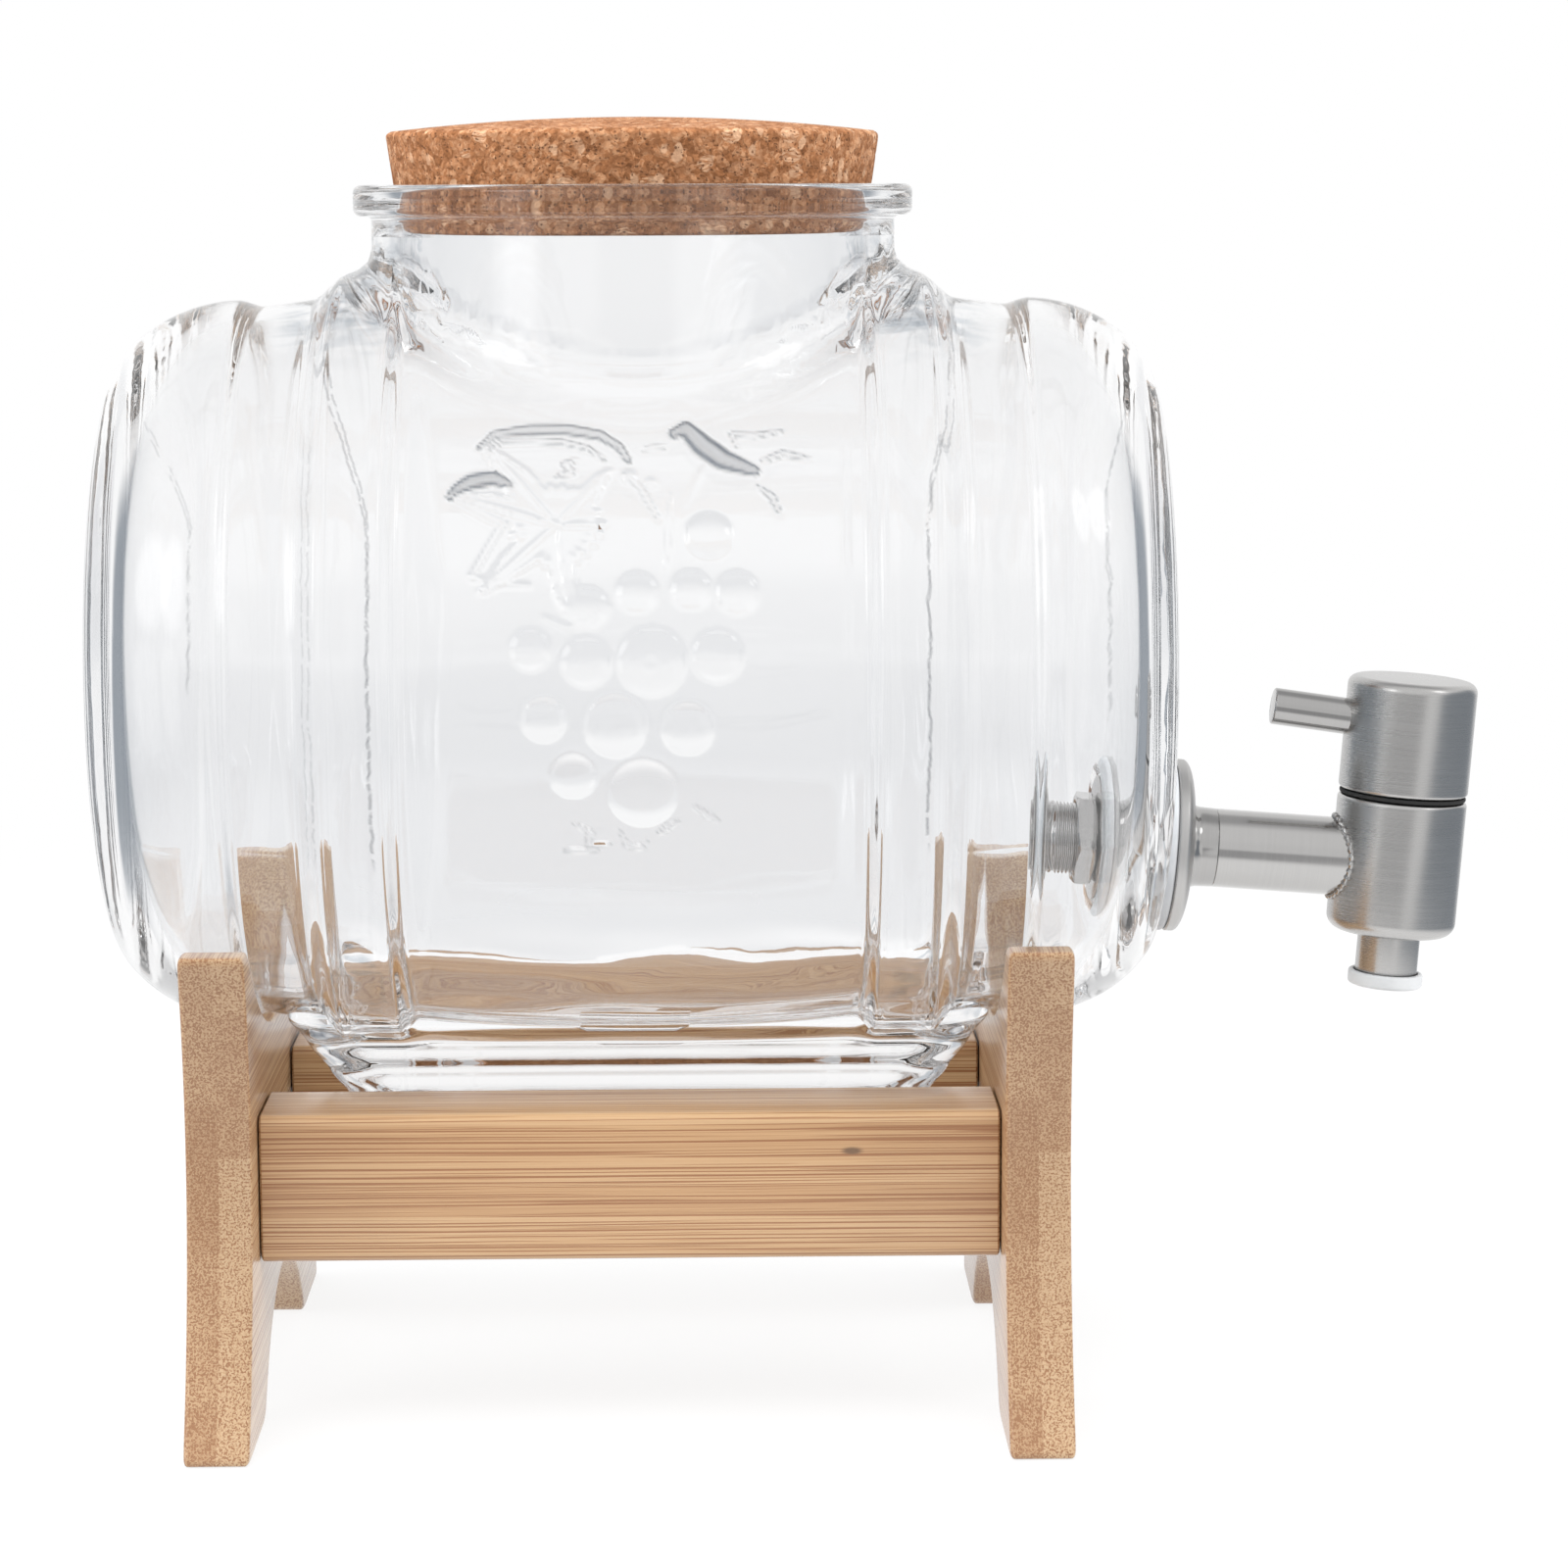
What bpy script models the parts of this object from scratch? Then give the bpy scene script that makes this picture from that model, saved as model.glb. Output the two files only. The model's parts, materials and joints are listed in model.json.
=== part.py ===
"""A glass drink dispenser: a barrel jar that lies in a bamboo stand, with a cork stopper and a steel tap.

Metres, +Z up. X runs along the barrel towards the tap, and -Y is the front. The floor is Z = 0,
and the origin is under the middle of the whole object.
"""
import math

import bmesh
import bpy
from mathutils import Matrix

# Gaps and cuts
FIT = 0.0003
OVERRUN = 0.0030
MERGE = 0.000001

# Bamboo stand: two end boards
BOARD_THICKNESS = 0.0130
BOARD_LAP = 0.0037
CRADLE_HALF_ANGLE_DEG = 46.9
WAIST_MARGIN = 0.0026
WAIST_HEIGHT = 0.0600
FOOT_FLARE = 0.0161
FOOT_WIDTH = 0.0325
ARCH_HEIGHT = 0.0220
BOARD_ROUNDING = 0.0013

# Bamboo stand: two rails and their dowels
RAIL_DEPTH = 0.0243
RAIL_HEIGHT = 0.0300
RAIL_UNDERSIDE = 0.0339
RAIL_GAP = 0.0430
RAIL_ROUNDING = 0.0016
DOWEL_RADIUS = 0.0040
DOWEL_SPACING = 0.0150
DOWEL_IN_BOARD = 0.0080
DOWEL_IN_RAIL = 0.0140
DOWEL_CHAMFER = 0.0007

# Glass barrel, lying along X, a little nearer to the tap's side of the stand
BARREL_OVER_RAILS = 0.0082
BARREL_OFFSET = 0.0015
END_HALF_LENGTH = 0.1095
END_DOME_RADIUS = 0.5150
SHOULDER_RADIUS = 0.0305
SHOULDER_CROP = 0.0015
CORNER_SOFTNESS = 0.0010
BAND_RADIUS = 0.0742
BAND_FLAT = 0.0025
GROOVE_DEPTH = 0.0014
GROOVE_SLOPE = 0.0014
BELLY_RISE = 0.0038
HOOP_SETBACK = 0.0147
HOOP_WIDTH = 0.0158
HOOP_RISE = 0.0039
HOOP_SLOPE = 0.0016
GLASS_WALL = 0.0045

# Glass neck and rim, standing on the barrel
MOUTH_RADIUS = 0.0490
NECK_WALL = 0.0043
NECK_SPREAD = 0.0007
NECK_ROOT_DEPTH = 0.0550
NECK_STAND = 0.0194
RIM_HEIGHT = 0.0063
RIM_LIP = 0.0037
RIM_ROUNDING = 0.0015

# Glass foot that hangs between the rails
BASE_FROM_BOARD = 0.0150
BASE_DROP = 0.0059
BASE_CLEARANCE = 0.0004
BASE_FLARE_SHARE = 0.62
BASE_CORNER = 0.0120
BASE_EDGE = 0.0015
BASE_ROOT_RISE = 0.0080

# Cork stopper
CORK_INSERT = 0.0100
CORK_STAND = 0.0105
CORK_TAPER_SHARE = 0.146
CORK_DOME = 0.0030
CORK_EDGE = 0.0018

# Tap: its hole, shank, gaskets and nut
TAP_FROM_SHOULDER = 0.0041
HOLE_RADIUS = 0.0080
SHANK_RADIUS = 0.00745
SHANK_BORE_RADIUS = 0.00525
SHANK_INNER_LENGTH = 0.0247
SHANK_CHAMFER = 0.0008
GASKET_RADIUS = 0.0180
GASKET_THICKNESS = 0.0026
FLANGE_THICKNESS = 0.0037
FLANGE_EDGE = 0.0014
FLANGE_TOP_RADIUS = 0.0105
COLLAR_RADIUS = 0.00845
COLLAR_LENGTH = 0.0052
INNER_GASKET_RADIUS = 0.0140
INNER_GASKET_THICKNESS = 0.0012
WASHER_RADIUS = 0.0135
WASHER_THICKNESS = 0.0008
NUT_HALF_ACROSS_FLATS = 0.00915
NUT_THICKNESS = 0.0068
NUT_CHAMFER = 0.0009

# Tap: pipe, body, spout and tip
PIPE_RADIUS = 0.0082
PIPE_BORE_RADIUS = 0.0055
BODY_REACH = 0.0510
BODY_RADIUS = 0.01345
BODY_TOP = 0.0133
BODY_DEPTH = 0.0152
BODY_FILLET = 0.0030
BODY_EDGE = 0.0005
BODY_WALL = 0.00345
BODY_FLOOR = 0.0062
SPOUT_RADIUS = 0.0065
SPOUT_WALL = 0.0010
SPOUT_SOCKET = 0.0030
SPOUT_LENGTH = 0.0090
TIP_WALL = 0.0010
TIP_LAP = 0.0026
TIP_LIP = 0.0018

# Tap: valve core, its rings and the bearing ring
CORE_CLEARANCE = 0.0008
CORE_HEIGHT = 0.0165
CORE_INLET_RADIUS = 0.0038
CORE_OUTLET_RADIUS = 0.0048
STEM_RADIUS = 0.0040
STEM_HEIGHT = 0.0340
O_RING_SECTION = 0.0009
O_RING_INSET = 0.0022
BEARING_INSET = 0.00065
BEARING_THICKNESS = 0.0010
CAP_NUT_HEIGHT = 0.0044

# Tap: knob and lever pin
KNOB_HEIGHT = 0.0236
KNOB_WALL = 0.0022
KNOB_ROUNDING = 0.0022
KNOB_EDGE = 0.0004
HUB_WALL = 0.0024
PIN_RADIUS = 0.00335
PIN_REACH = 0.0155
PIN_HEIGHT = 0.0305
PIN_ROUNDING = 0.0008
PIN_SPIGOT_RADIUS = 0.0020
PIN_SPIGOT_REACH = 0.0025

# How finely round shapes are cut into flats
BARREL_STEPS = 48
CAVITY_STEPS = 32
NECK_STEPS = 40
TAP_STEPS = 24
SMALL_STEPS = 14
DOWEL_STEPS = 10
CRADLE_STEPS = 18
ARCH_STEPS = 10
SIDE_STEPS = 7
SHOULDER_STEPS = 5
BELLY_STEPS = 2
CORNER_STEPS = 4
ROUND_STEPS = 3
RING_SECTION_STEPS = 6
DOME_SHARES = (0.0, 0.4, 0.75)
SHOULDER_SWEEP_DEG = 64
CORK_DOME_SHARES = (0.8, 0.55, 0.3)
CORNER_LIMIT_SHARE = 0.9

# Places that follow from the sizes
shoulder_x = END_HALF_LENGTH - SHOULDER_RADIUS + SHOULDER_CROP
band_edge_x = shoulder_x - BAND_FLAT
groove_x = band_edge_x - GROOVE_SLOPE
groove_radius = BAND_RADIUS - GROOVE_DEPTH
hoop_outer_x = groove_x - HOOP_SETBACK
hoop_inner_x = hoop_outer_x - HOOP_WIDTH
board_inner_x = band_edge_x - BOARD_LAP
board_outer_x = board_inner_x + BOARD_THICKNESS
base_half_length = board_inner_x - BASE_FROM_BOARD
belly_top_radius = BAND_RADIUS + BELLY_RISE
rail_top = RAIL_UNDERSIDE + RAIL_HEIGHT
axis_height = rail_top + BARREL_OVER_RAILS + belly_top_radius
rim_top = axis_height + belly_top_radius + NECK_STAND
neck_radius = MOUTH_RADIUS + NECK_WALL
rim_radius = neck_radius + RIM_LIP
tap_below_axis = BAND_RADIUS - SHOULDER_RADIUS - TAP_FROM_SHOULDER
tap_droop = math.asin(tap_below_axis / END_DOME_RADIUS)


def belly_radius(x):
    """Outer radius of the barrel between its grooves, a parabola that is fullest in the middle."""
    fullness = 1 - (x / groove_x) ** 2
    return groove_radius + (belly_top_radius - groove_radius) * fullness


def cavity_radius(x):
    """Inner radius of the barrel between its shoulders, a smooth parabola without hoops."""
    fullness = 1 - (x / shoulder_x) ** 2
    return BAND_RADIUS - GLASS_WALL + (belly_top_radius - BAND_RADIUS) * fullness


def end_x(radius, wall=0.0):
    """Distance of the domed end from the middle: the dome and the shoulder arc, softly joined.

    wall is how far inside the outer surface the asked surface lies.
    """
    dome = END_DOME_RADIUS - wall
    arc = SHOULDER_RADIUS - wall
    dome_x = END_HALF_LENGTH - wall - dome + math.sqrt(dome ** 2 - radius ** 2)
    over = min(max(radius - (BAND_RADIUS - SHOULDER_RADIUS), 0.0), arc)
    arc_x = shoulder_x + math.sqrt(arc ** 2 - over ** 2)
    gap = abs(dome_x - arc_x) / CORNER_SOFTNESS
    return min(dome_x, arc_x) - CORNER_SOFTNESS * math.log1p(math.exp(-gap))


def end_outline(wall):
    """Points (radius, x) of one domed end, from its middle to where the shoulder starts."""
    arc = SHOULDER_RADIUS - wall
    centre = BAND_RADIUS - SHOULDER_RADIUS
    steepest = math.radians(SHOULDER_SWEEP_DEG)
    first = centre + arc * math.cos(steepest)
    points = [(share * first, end_x(share * first, wall)) for share in DOME_SHARES]
    for step in range(SHOULDER_STEPS):
        angle = steepest * (1 - step / SHOULDER_STEPS)
        radius = centre + arc * math.cos(angle)
        points.append((radius, end_x(radius, wall)))
    points.append((BAND_RADIUS - wall, shoulder_x))
    return points


def barrel_outline():
    """Points (radius, x) of the outside of the barrel, from the end at +X to the end at -X."""
    half = end_outline(0.0)
    half += [(BAND_RADIUS, band_edge_x), (groove_radius, groove_x)]
    for step in range(1, BELLY_STEPS):
        x = groove_x - HOOP_SETBACK * step / BELLY_STEPS
        half.append((belly_radius(x), x))
    middle = (hoop_inner_x + hoop_outer_x) / 2
    crest = belly_radius(middle) + HOOP_RISE
    half.append((belly_radius(hoop_outer_x), hoop_outer_x))
    half.append((crest, hoop_outer_x - HOOP_SLOPE))
    half.append((crest, hoop_inner_x + HOOP_SLOPE))
    for step in range(BELLY_STEPS):
        x = hoop_inner_x * (1 - step / BELLY_STEPS)
        half.append((belly_radius(x), x))
    return half + [(belly_top_radius, 0.0)] + [(radius, -x) for radius, x in reversed(half)]


def cavity_outline():
    """Points (radius, x) of the room inside the barrel, from the end at +X to the end at -X."""
    half = end_outline(GLASS_WALL)
    for step in range(1, BELLY_STEPS + 1):
        x = shoulder_x * (1 - step / (BELLY_STEPS + 1))
        half.append((cavity_radius(x), x))
    return half + [(cavity_radius(0.0), 0.0)] + [(radius, -x) for radius, x in reversed(half)]


# Places round the tap, along its own axis from the outside of the glass (plus is outwards)
wall_x = end_x(tap_below_axis)
gasket_start = FIT
gasket_end = gasket_start + GASKET_THICKNESS
flange_start = gasket_end + FIT
flange_end = flange_start + FLANGE_THICKNESS
collar_start = flange_end + FIT
collar_end = collar_start + COLLAR_LENGTH
pipe_start = collar_end + FIT
inner_sag = INNER_GASKET_RADIUS ** 2 / (2 * (END_DOME_RADIUS - GLASS_WALL))
inner_gasket_start = -GLASS_WALL - inner_sag - FIT
washer_start = inner_gasket_start - INNER_GASKET_THICKNESS - FIT
nut_start = washer_start - WASHER_THICKNESS - FIT

# Heights in the tap body, along the body's own axis from the middle of the pipe
core_floor = BODY_FLOOR - BODY_DEPTH
core_bottom = core_floor + FIT
core_top = core_bottom + CORE_HEIGHT
cap_nut_bottom = core_top + FIT
bearing_bottom = BODY_TOP + FIT
knob_bottom = bearing_bottom + BEARING_THICKNESS + FIT
knob_top = knob_bottom + KNOB_HEIGHT
body_bore_radius = BODY_RADIUS - BODY_WALL
core_radius = body_bore_radius - CORE_CLEARANCE
bearing_radius = BODY_RADIUS - BEARING_INSET
stem_hole_radius = STEM_RADIUS + FIT
hub_radius = stem_hole_radius + HUB_WALL
spout_end = -BODY_DEPTH - SPOUT_LENGTH

# The object's reach along X, which sets the origin
knob_edge = BODY_RADIUS * math.cos(tap_droop) + (knob_top - KNOB_ROUNDING) * math.sin(tap_droop)
right_reach = wall_x + BODY_REACH * math.cos(tap_droop) + knob_edge
middle_x = (right_reach - END_HALF_LENGTH) / 2


def finish(name, colour, roughness, metallic=0.0, transmission=0.0):
    """Makes a material with the part's colour, roughness and metallic value."""
    material = bpy.data.materials.new(name)
    material.use_nodes = True
    shader = material.node_tree.nodes["Principled BSDF"]
    shader.inputs["Base Color"].default_value = (*colour, 1.0)
    shader.inputs["Roughness"].default_value = roughness
    shader.inputs["Metallic"].default_value = metallic
    shader.inputs["Transmission Weight"].default_value = transmission
    return material


def place(name, mesh, material, parent, location=(0.0, 0.0, 0.0), rotation=(0.0, 0.0, 0.0)):
    """Turns a bmesh into an object with outward faces and puts it under its parent."""
    bmesh.ops.remove_doubles(mesh, verts=mesh.verts, dist=MERGE)
    bmesh.ops.recalc_face_normals(mesh, faces=mesh.faces)
    data = bpy.data.meshes.new(name)
    mesh.to_mesh(data)
    mesh.free()
    data.shade_smooth()
    data.set_sharp_from_angle(angle=math.radians(35))
    made = bpy.data.objects.new(name, data)
    bpy.context.scene.collection.objects.link(made)
    data.materials.append(material)
    made.parent = parent
    made.location = location
    made.rotation_euler = rotation
    return made


def pivot(name, parent=None, location=(0.0, 0.0, 0.0), rotation=(0.0, 0.0, 0.0)):
    """An empty that carries the pieces of one assembly."""
    made = bpy.data.objects.new(name, None)
    bpy.context.scene.collection.objects.link(made)
    made.parent = parent
    made.location = location
    made.rotation_euler = rotation
    return made


def spun(outline, steps, closed=True):
    """Spins an outline of (radius, height) points once round Z, as a lathe would cut it."""
    mesh = bmesh.new()
    verts = [mesh.verts.new((radius, 0.0, height)) for radius, height in outline]
    edges = [mesh.edges.new(pair) for pair in zip(verts, verts[1:])]
    if closed:
        edges.append(mesh.edges.new((verts[-1], verts[0])))
    bmesh.ops.spin(mesh, geom=verts + edges, cent=(0.0, 0.0, 0.0), axis=(0.0, 0.0, 1.0),
                   angle=math.tau, steps=steps, use_merge=True)
    return mesh


def extruded(outline, start, length):
    """Carries an outline of (y, z) points along X from start."""
    mesh = bmesh.new()
    face = mesh.faces.new([mesh.verts.new((start, y, z)) for y, z in outline])
    grown = bmesh.ops.extrude_face_region(mesh, geom=[face])["geom"]
    moved = [part for part in grown if isinstance(part, bmesh.types.BMVert)]
    bmesh.ops.translate(mesh, verts=moved, vec=(length, 0.0, 0.0))
    return mesh


def lofted(loops):
    """Skins a stack of loops that have the same number of points, and closes both ends."""
    mesh = bmesh.new()
    rings = [[mesh.verts.new(point) for point in loop] for loop in loops]
    for lower, upper in zip(rings, rings[1:]):
        for index in range(len(lower)):
            after = (index + 1) % len(lower)
            mesh.faces.new((lower[index], lower[after], upper[after], upper[index]))
    mesh.faces.new(rings[0])
    mesh.faces.new(rings[-1])
    return mesh


def rod(radius, length, steps, chamfer=0.0):
    """A round rod along Z from zero, with chamfered ends."""
    outline = [(0.0, 0.0), (radius - chamfer, 0.0), (radius, chamfer)]
    outline += [(radius, length - chamfer), (radius - chamfer, length), (0.0, length)]
    return spun(outline, steps, closed=False)


def quarter(centre, radius, first, last, steps=ROUND_STEPS):
    """Points of an arc about a centre, from one angle to another in degrees."""
    points = []
    for step in range(steps + 1):
        angle = math.radians(first + (last - first) * step / steps)
        points.append((centre[0] + radius * math.cos(angle), centre[1] + radius * math.sin(angle)))
    return points


def combine(target, tool, operation="DIFFERENCE"):
    """Cuts a tool out of a piece, or joins it to the piece, and keeps the tool out of the model."""
    modifier = target.modifiers.new(tool.name, "BOOLEAN")
    modifier.operation = operation
    modifier.solver = "EXACT"
    modifier.object = tool
    tool.hide_render = True
    tool.display_type = "WIRE"


def board_outline():
    """Outline (y, z) of an end board: feet, hollow sides, two horns, a cradle and a low arch."""
    board_seat = max(BAND_RADIUS, belly_radius(board_inner_x))
    cradle_radius = board_seat + FIT
    opening = math.radians(CRADLE_HALF_ANGLE_DEG)
    horn_height = axis_height - cradle_radius * math.cos(opening)
    waist_half_depth = cradle_radius * math.sin(opening) + WAIST_MARGIN
    side_radius = (FOOT_FLARE ** 2 + WAIST_HEIGHT ** 2) / (2 * FOOT_FLARE)
    side_centre = waist_half_depth + side_radius
    side = []
    for step in range(SIDE_STEPS + 1):
        z = horn_height * step / SIDE_STEPS
        side.append((side_centre - math.sqrt(side_radius ** 2 - (z - WAIST_HEIGHT) ** 2), z))
    cradle = []
    for step in range(CRADLE_STEPS + 1):
        angle = opening * (1 - 2 * step / CRADLE_STEPS)
        y = cradle_radius * math.sin(angle)
        cradle.append((y, axis_height - cradle_radius * math.cos(angle)))
    foot_inner = waist_half_depth + FOOT_FLARE - FOOT_WIDTH
    arch_radius = (foot_inner ** 2 + ARCH_HEIGHT ** 2) / (2 * ARCH_HEIGHT)
    arch = []
    for step in range(ARCH_STEPS + 1):
        y = foot_inner * (2 * step / ARCH_STEPS - 1)
        z = ARCH_HEIGHT - arch_radius + math.sqrt(arch_radius ** 2 - y ** 2)
        arch.append((y, max(z, 0.0)))
    return side + cradle + [(-y, z) for y, z in reversed(side)] + arch


def dowel_places():
    """Rail, level and middle (y, z) of each dowel at one end of the rails."""
    y = (RAIL_GAP + RAIL_DEPTH) / 2
    z = RAIL_UNDERSIDE + RAIL_HEIGHT / 2
    return [(rail, level, side * y, z + up * DOWEL_SPACING / 2)
            for rail, side in (("front", -1), ("rear", 1))
            for level, up in (("lower", -1), ("upper", 1))]


def make_stand(stand, bamboo, beech):
    """The two end boards, the two rails and the dowels that join them."""
    rail_length = 2 * (board_inner_x - FIT)
    boards = {"left_end_frame": -board_outer_x, "right_end_frame": board_inner_x}
    frames = [place(name, extruded(board_outline(), x, BOARD_THICKNESS), bamboo, stand)
              for name, x in boards.items()]
    rails = []
    for name, side in (("front_rail", -1), ("rear_rail", 1)):
        middle = side * (RAIL_GAP + RAIL_DEPTH) / 2
        y_faces = (middle - RAIL_DEPTH / 2, middle + RAIL_DEPTH / 2)
        outline = []
        for y, z, start in ((y_faces[1], rail_top, 0), (y_faces[0], rail_top, 90),
                            (y_faces[0], RAIL_UNDERSIDE, 180), (y_faces[1], RAIL_UNDERSIDE, 270)):
            inward_y = -RAIL_ROUNDING if y == y_faces[1] else RAIL_ROUNDING
            inward_z = -RAIL_ROUNDING if z == rail_top else RAIL_ROUNDING
            outline += quarter((y + inward_y, z + inward_z), RAIL_ROUNDING, start, start + 90)
        rails.append(place(name, extruded(outline, -rail_length / 2, rail_length), bamboo, stand))
    for frame in frames:
        bevel = frame.modifiers.new("rounded_edges", "BEVEL")
        bevel.width = BOARD_ROUNDING
        bevel.segments = 2
        bevel.angle_limit = math.radians(35)
    low = board_inner_x - FIT - DOWEL_IN_RAIL
    length = DOWEL_IN_RAIL + FIT + DOWEL_IN_BOARD
    holes = bmesh.new()
    for side, sign in (("left", -1), ("right", 1)):
        lying = (0.0, sign * math.pi / 2, 0.0)
        for rail, level, y, z in dowel_places():
            name = f"dowel_{side}_{rail}_{level}"
            peg = rod(DOWEL_RADIUS, length, DOWEL_STEPS, DOWEL_CHAMFER)
            place(name, peg, beech, stand, (sign * low, y, z), lying)
            hole = rod(DOWEL_RADIUS + FIT, length + 2 * FIT, DOWEL_STEPS)
            bmesh.ops.rotate(hole, verts=hole.verts, cent=(0.0, 0.0, 0.0),
                             matrix=Matrix.Rotation(lying[1], 3, "Y"))
            bmesh.ops.translate(hole, verts=hole.verts, vec=(sign * (low - FIT), y, z))
            add_to(holes, hole)
    cutter = place("dowel_holes", holes, beech, stand)
    for piece in frames + rails:
        combine(piece, cutter)


def add_to(mesh, other):
    """Puts a finished bmesh into another one."""
    data = bpy.data.meshes.new("part")
    other.to_mesh(data)
    other.free()
    mesh.from_mesh(data)
    bpy.data.meshes.remove(data)


def rounded_rectangle(half_length, half_width, corner, z):
    """Loop of points round a rectangle with rounded corners at one height."""
    x = half_length - corner
    y = half_width - corner
    loop = []
    for centre, start in (((x, y), 0), ((-x, y), 90), ((-x, -y), 180), ((x, -y), 270)):
        loop += [(*point, z) for point in quarter(centre, corner, start, start + 90, CORNER_STEPS)]
    return loop


def base_mesh():
    """The glass foot: a rounded rectangle that spreads upwards into the underside of the barrel."""
    bottom = rail_top - BASE_DROP
    top = axis_height - belly_top_radius + BASE_ROOT_RISE
    width = RAIL_GAP / 2 - BASE_CLEARANCE - BASE_FLARE_SHARE * BASE_DROP
    loops = []
    for inset, z in ((BASE_EDGE, bottom), (0.0, bottom + BASE_EDGE), (0.0, rail_top), (0.0, top)):
        spread = BASE_FLARE_SHARE * (z - bottom) - inset
        corner = min(BASE_CORNER, (width - inset) * CORNER_LIMIT_SHARE) + max(spread, 0.0)
        loops.append(rounded_rectangle(base_half_length + spread, width + spread, corner, z))
    return lofted(loops)


def neck_outline():
    """Points (radius, z) of the neck and its rim, a solid plug that the bore is cut from."""
    root = rim_top - NECK_ROOT_DEPTH
    under = rim_top - RIM_HEIGHT
    turn = rim_radius - RIM_ROUNDING
    outline = [(0.0, root), (neck_radius + NECK_SPREAD, root), (neck_radius, under)]
    outline += quarter((turn, under + RIM_ROUNDING), RIM_ROUNDING, -90, 0)
    outline += quarter((turn, rim_top - RIM_ROUNDING), RIM_ROUNDING, 0, 90)
    return outline + [(0.0, rim_top)]


def cork_radius(z):
    """Radius of the cork's side, which tapers downwards, at a height."""
    return MOUTH_RADIUS - FIT + CORK_TAPER_SHARE * (z - rim_top)


def bore_outline():
    """Points (radius, z) of the bore: a cone that fits the cork, then straight down."""
    cork_bottom = rim_top - CORK_INSERT
    low = cork_radius(cork_bottom) + FIT
    mouth = MOUTH_RADIUS + CORK_TAPER_SHARE * OVERRUN
    outline = [(0.0, axis_height + BAND_RADIUS / 2), (low, axis_height + BAND_RADIUS / 2)]
    return outline + [(low, cork_bottom), (mouth, rim_top + OVERRUN), (0.0, rim_top + OVERRUN)]


def make_jar(root, glass):
    """The glass jar: barrel, foot, neck and rim, its room, its mouth and the hole for the tap."""
    lying = (0.0, math.pi / 2, 0.0)
    centre = (0.0, 0.0, axis_height)
    jar = place("glass_jar", spun(barrel_outline(), BARREL_STEPS, False), glass, root, centre, lying)
    combine(jar, place("jar_foot_shape", base_mesh(), glass, root), "UNION")
    combine(jar, place("jar_neck_shape", spun(neck_outline(), NECK_STEPS, False), glass, root), "UNION")
    room = spun(cavity_outline(), CAVITY_STEPS, False)
    combine(jar, place("jar_room", room, glass, root, centre, lying))
    combine(jar, place("jar_mouth", spun(bore_outline(), NECK_STEPS, False), glass, root))
    return jar


def make_cork(root, cork):
    """The stopper: a tapered plug with a softly domed top."""
    bottom = rim_top - CORK_INSERT
    top = rim_top + CORK_STAND
    edge = cork_radius(top)
    outline = [(0.0, bottom), (cork_radius(bottom) - CORK_EDGE / 2, bottom)]
    outline += [(cork_radius(bottom + CORK_EDGE / 2), bottom + CORK_EDGE / 2)]
    outline += quarter((edge - CORK_EDGE, top - CORK_EDGE), CORK_EDGE, 0, 75)
    for share in CORK_DOME_SHARES:
        outline.append((edge * share, top + CORK_DOME * (1 - share ** 2)))
    outline.append((0.0, top + CORK_DOME))
    lift = [(radius, z - bottom) for radius, z in outline]
    place("cork_stopper", spun(lift, NECK_STEPS, False), cork, root, (0.0, 0.0, bottom))


def ring(name, inner, outer, start, length, material, parent, steps=TAP_STEPS, edge=0.0):
    """A plain round washer or gasket round the tap's X axis."""
    outline = [(inner, start), (outer - edge, start), (outer, start + edge)]
    outline += [(outer, start + length - edge), (outer - edge, start + length), (inner, start + length)]
    return place(name, spun(outline, steps), material, parent, rotation=(0.0, math.pi / 2, 0.0))


def make_tap_mounting(jar, tap, steel, grey_rubber, white_rubber):
    """The pieces that clamp the tap in the glass: gaskets, flange, shank, washer and nut."""
    along = (0.0, math.pi / 2, 0.0)
    hole = rod(HOLE_RADIUS, 2 * (GLASS_WALL + OVERRUN), TAP_STEPS)
    start = -GLASS_WALL - 2 * OVERRUN
    combine(jar, place("tap_hole", hole, steel, tap, (start, 0.0, 0.0), along))
    clear = SHANK_RADIUS + FIT
    ring("outer_gasket", clear, GASKET_RADIUS, gasket_start, GASKET_THICKNESS, grey_rubber, tap,
         edge=GASKET_THICKNESS / 6)
    dome = [(clear, flange_start), (GASKET_RADIUS, flange_start)]
    dome += [(GASKET_RADIUS, flange_start + FLANGE_EDGE)]
    rise = FLANGE_THICKNESS - FLANGE_EDGE
    for step in range(1, ROUND_STEPS + 1):
        angle = math.pi / 2 * step / ROUND_STEPS
        reach = FLANGE_TOP_RADIUS + (GASKET_RADIUS - FLANGE_TOP_RADIUS) * math.cos(angle)
        dome.append((reach, flange_start + FLANGE_EDGE + rise * math.sin(angle)))
    dome.append((clear, flange_end))
    place("tap_flange", spun(dome, TAP_STEPS), steel, tap, rotation=along)
    end = -SHANK_INNER_LENGTH
    shank = [(SHANK_BORE_RADIUS, end), (SHANK_RADIUS - SHANK_CHAMFER, end)]
    shank += [(SHANK_RADIUS, end + SHANK_CHAMFER), (SHANK_RADIUS, collar_start)]
    shank += [(COLLAR_RADIUS, collar_start), (COLLAR_RADIUS, collar_end), (SHANK_BORE_RADIUS, collar_end)]
    place("threaded_shank", spun(shank, TAP_STEPS), steel, tap, rotation=along)
    ring("inner_gasket", clear, INNER_GASKET_RADIUS, inner_gasket_start - INNER_GASKET_THICKNESS,
         INNER_GASKET_THICKNESS, white_rubber, tap)
    ring("inner_washer", clear, WASHER_RADIUS, washer_start - WASHER_THICKNESS, WASHER_THICKNESS,
         steel, tap)
    make_nut(tap, steel, clear)


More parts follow.
